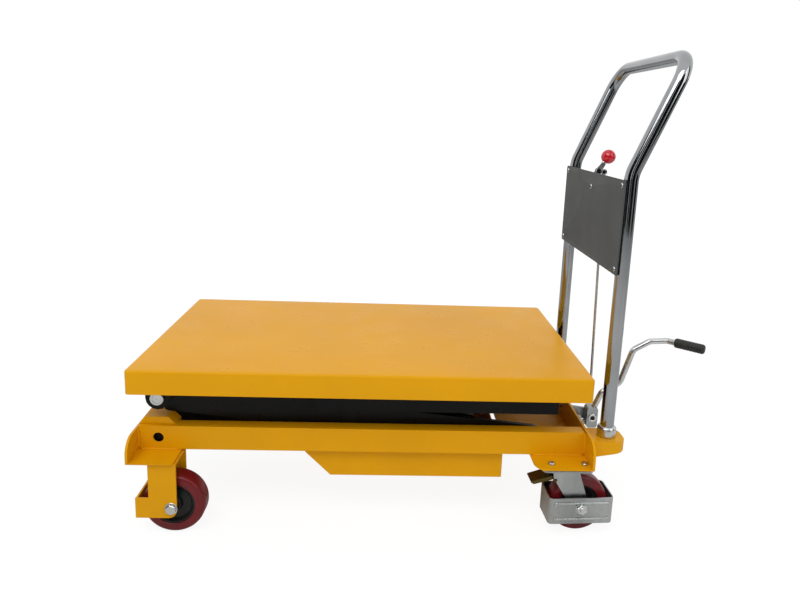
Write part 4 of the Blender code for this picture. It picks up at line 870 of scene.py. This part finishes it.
def weld(points, radius=0.0024, ripple=0.0038):
    """A tube along a line whose radius is r * (1 + 0.16 * |sin|) at one ripple each few millimetres, ends
    tapered.
    """
    points = np.array(points, float)
    steps = np.linalg.norm(np.diff(points, axis=0), axis=1)
    whole = np.concatenate([[0], np.cumsum(steps)])
    s = np.linspace(0, whole[-1], max(12, int(whole[-1] / 0.0006)))
    path = np.column_stack([np.interp(s, whole, points[:, i]) for i in range(3)])
    taper = np.clip(np.minimum(s, whole[-1] - s) / 0.002 + 0.25, 0.25, 1)
    swell = radius * (1 + 0.16 * np.abs(np.sin(np.pi * s / ripple)) + 0.05 * np.sin(s * 900)) * taper
    return tube(path, swell, 10, (0.33, 0.21, 0.92))


def welds():
    """Beads where the end plates meet the rails and feet, and round the foot of each handle bracket."""
    shapes = []
    rail_y, foot_y, bracket_x, bracket_half = 0.206, 0.2055, 0.4653, 0.030
    for side in SIDES.values():
        rail, foot = side * rail_y, side * foot_y
        for x, top in ((-0.4485, 0.044), (0.4595, 0.047)):
            shapes.append(weld([on(x, rail, 0.005), on(x, rail, top)]))
        for x0, x1 in ((-0.444, -0.372), (0.352, 0.455)):
            shapes.append(weld([on(x0, foot, 0.0005), on(x1, foot, 0.0005)], 0.0020))
        left, right = side * TUBE_Y - bracket_half, side * TUBE_Y + bracket_half
        for y in (left, right):
            shapes.append(weld([on(bracket_x, y, 0.009), on(bracket_x, y, 0.0385)]))
        shapes.append(weld([on(bracket_x, left, 0.0393), on(bracket_x, right, 0.0393)], 0.0019))
    piece("frame_welds", shapes, "yellow_paint", "base")


welds()


# Light, floor and camera

WHITE = (1.0, 1.0, 1.0, 1.0)
STUDIO_LIGHT, SEEN_LIGHT = 0.46, 1.0

# The floor's glow has the first share near the object and the second far away, and its shading has the rest
FLOOR_HALF, FLOOR_TONE, FLOOR_GLOW = 30.0, 0.86, 1.08
NEAR_AND_FAR, GLOW_SHARES = (0.9, 2.6), (0.84, 1.0)

# Each lamp's place, the point that it faces, its two sides and its power in watts
LAMPS = {
    "key": ((-0.9, -1.6, 2.6), (0, 0, 0.25), (2.4, 1.4), 38.0),
    "fill": ((1.9, -1.5, 1.6), (0, 0, 0.4), (1.2, 1.6), 10.0),
    "back": ((0.4, 2.3, 2.3), (0, 0, 0.3), (2.6, 0.8), 20.0),
}

# The first and last bearing of each dark wall, in degrees anticlockwise from +X
WALL_BEARINGS = ((186, 236), (246, 262), (266, 305), (318, 352))
WALL_DISTANCE, WALL_FOOT, WALL_TOP = 4.2, 0.02, 3.6

CAMERA_PLACE = (0.035, -1.4193, 0.6717)
YAW, PITCH, ROLL = 0.0455, 0.1865, 0.0384
LENS, SHIFT_X, SHIFT_Y = 28.89, -0.0179, -0.0734


def math_node(tree, operation, first, second):
    node = tree.nodes.new("ShaderNodeMath")
    node.operation = operation
    tree.links.new(first, node.inputs[0])
    tree.links.new(second, node.inputs[1])
    return node.outputs[0]


def white_light(tree, kind, strength):
    node = tree.nodes.new(kind)
    node.inputs["Color"].default_value = WHITE
    node.inputs["Strength"].default_value = strength
    return node.outputs[0]


def mixed(tree, share, first, second):
    node = tree.nodes.new("ShaderNodeMixShader")
    for socket, source in enumerate((share, first, second)):
        tree.links.new(source, node.inputs[socket])
    return node.outputs[0]


def studio_world():
    """Soft light from all round, and plain white for the rays that see it, mirror it or pass through
    glass.
    """
    world = bpy.data.worlds.new("studio")
    bpy.context.scene.world = world
    world.use_nodes = True
    tree = world.node_tree
    tree.nodes.clear()
    rays = tree.nodes.new("ShaderNodeLightPath").outputs
    seen = math_node(tree, "MAXIMUM", rays["Is Camera Ray"], rays["Is Transmission Ray"])
    seen = math_node(tree, "MAXIMUM", seen, rays["Is Glossy Ray"])
    soft = white_light(tree, "ShaderNodeBackground", STUDIO_LIGHT)
    white = white_light(tree, "ShaderNodeBackground", SEEN_LIGHT)
    out = tree.nodes.new("ShaderNodeOutputWorld")
    tree.links.new(mixed(tree, seen, soft, white), out.inputs["Surface"])


def studio_floor():
    """A pale floor that glows white to the camera and keeps a part of the object's shadow."""
    mesh = bpy.data.meshes.new("floor")
    r = FLOOR_HALF
    mesh.from_pydata([(-r, -r, 0), (r, -r, 0), (r, r, 0), (-r, r, 0)], [], [(0, 1, 2, 3)])
    obj = bpy.data.objects.new("floor", mesh)
    bpy.context.scene.collection.objects.link(obj)
    pale = Nodes("pale_floor", 0.8, Base_Color=(FLOOR_TONE, FLOOR_TONE, FLOOR_TONE, 1.0))
    away = pale.new("ShaderNodeVectorMath")
    away.operation = "LENGTH"
    pale.join(pale.place, away.inputs[0])
    fade = pale.between(away.outputs["Value"], *NEAR_AND_FAR, *GLOW_SHARES)
    to_camera = pale.new("ShaderNodeLightPath").outputs["Is Camera Ray"]
    share = math_node(pale.tree, "MULTIPLY", to_camera, fade)
    glow = white_light(pale.tree, "ShaderNodeEmission", FLOOR_GLOW)
    surface = mixed(pale.tree, share, pale.shader.outputs[0], glow)
    pale.join(surface, pale.tree.nodes["Material Output"].inputs["Surface"])
    mesh.materials.append(pale.material)


def lamps():
    for name, (place, aim, size, power) in LAMPS.items():
        light = bpy.data.lights.new(name, "AREA")
        light.shape = "RECTANGLE"
        light.size, light.size_y = size
        light.energy = power
        lamp = bpy.data.objects.new(name, light)
        lamp.location = place
        lamp.visible_glossy = name != "back"
        lamp.rotation_euler = (Vector(aim) - Vector(place)).to_track_quat("-Z", "Y").to_euler()
        bpy.context.scene.collection.objects.link(lamp)


def dark_walls():
    """A dark room round the camera, seen only in reflections, whose open slots draw bright lines in the
    metal.
    """
    dark = Nodes("dark_room", 0.5, Base_Color=(0.02, 0.02, 0.02, 1.0), Specular_IOR_Level=0.0)
    panes = 7
    around = panes + 1
    for i, (first, last) in enumerate(WALL_BEARINGS):
        a = np.radians(np.linspace(first, last, around))
        foot = np.column_stack([WALL_DISTANCE * np.cos(a), WALL_DISTANCE * np.sin(a)])
        corners = [(*p, z) for z in (WALL_FOOT, WALL_TOP) for p in foot]
        faces = [(k, k + 1, k + around + 1, k + around) for k in range(panes)]
        mesh = bpy.data.meshes.new(f"dark_wall_{i}")
        mesh.from_pydata(corners, [], faces)
        mesh.materials.append(dark.material)
        wall = bpy.data.objects.new(f"dark_wall_{i}", mesh)
        bpy.context.scene.collection.objects.link(wall)
        wall.visible_camera = False
        wall.visible_diffuse = False
        wall.visible_shadow = False


def viewpoint():
    """The photograph's camera: turned right by the yaw, tipped down by the pitch and rolled about its
    sight line.
    """
    ahead = Vector((math.sin(YAW) * math.cos(PITCH), math.cos(YAW) * math.cos(PITCH), -math.sin(PITCH)))
    right = Vector((math.cos(YAW), -math.sin(YAW), 0))
    down = ahead.cross(right)
    across = math.cos(ROLL) * right - math.sin(ROLL) * down
    below = math.sin(ROLL) * right + math.cos(ROLL) * down
    turn = Matrix((across, -below, -ahead)).transposed()
    eye = bpy.data.cameras.new("photograph")
    eye.sensor_width = 36.0
    eye.lens = LENS
    eye.shift_x = SHIFT_X
    eye.shift_y = SHIFT_Y
    camera = bpy.data.objects.new("photograph", eye)
    camera.matrix_world = Matrix.Translation(on(*CAMERA_PLACE)) @ turn.to_4x4()
    bpy.context.scene.collection.objects.link(camera)
    bpy.context.scene.camera = camera


bpy.context.scene.view_settings.view_transform = "Standard"
studio_world()
studio_floor()
lamps()
dark_walls()
viewpoint()
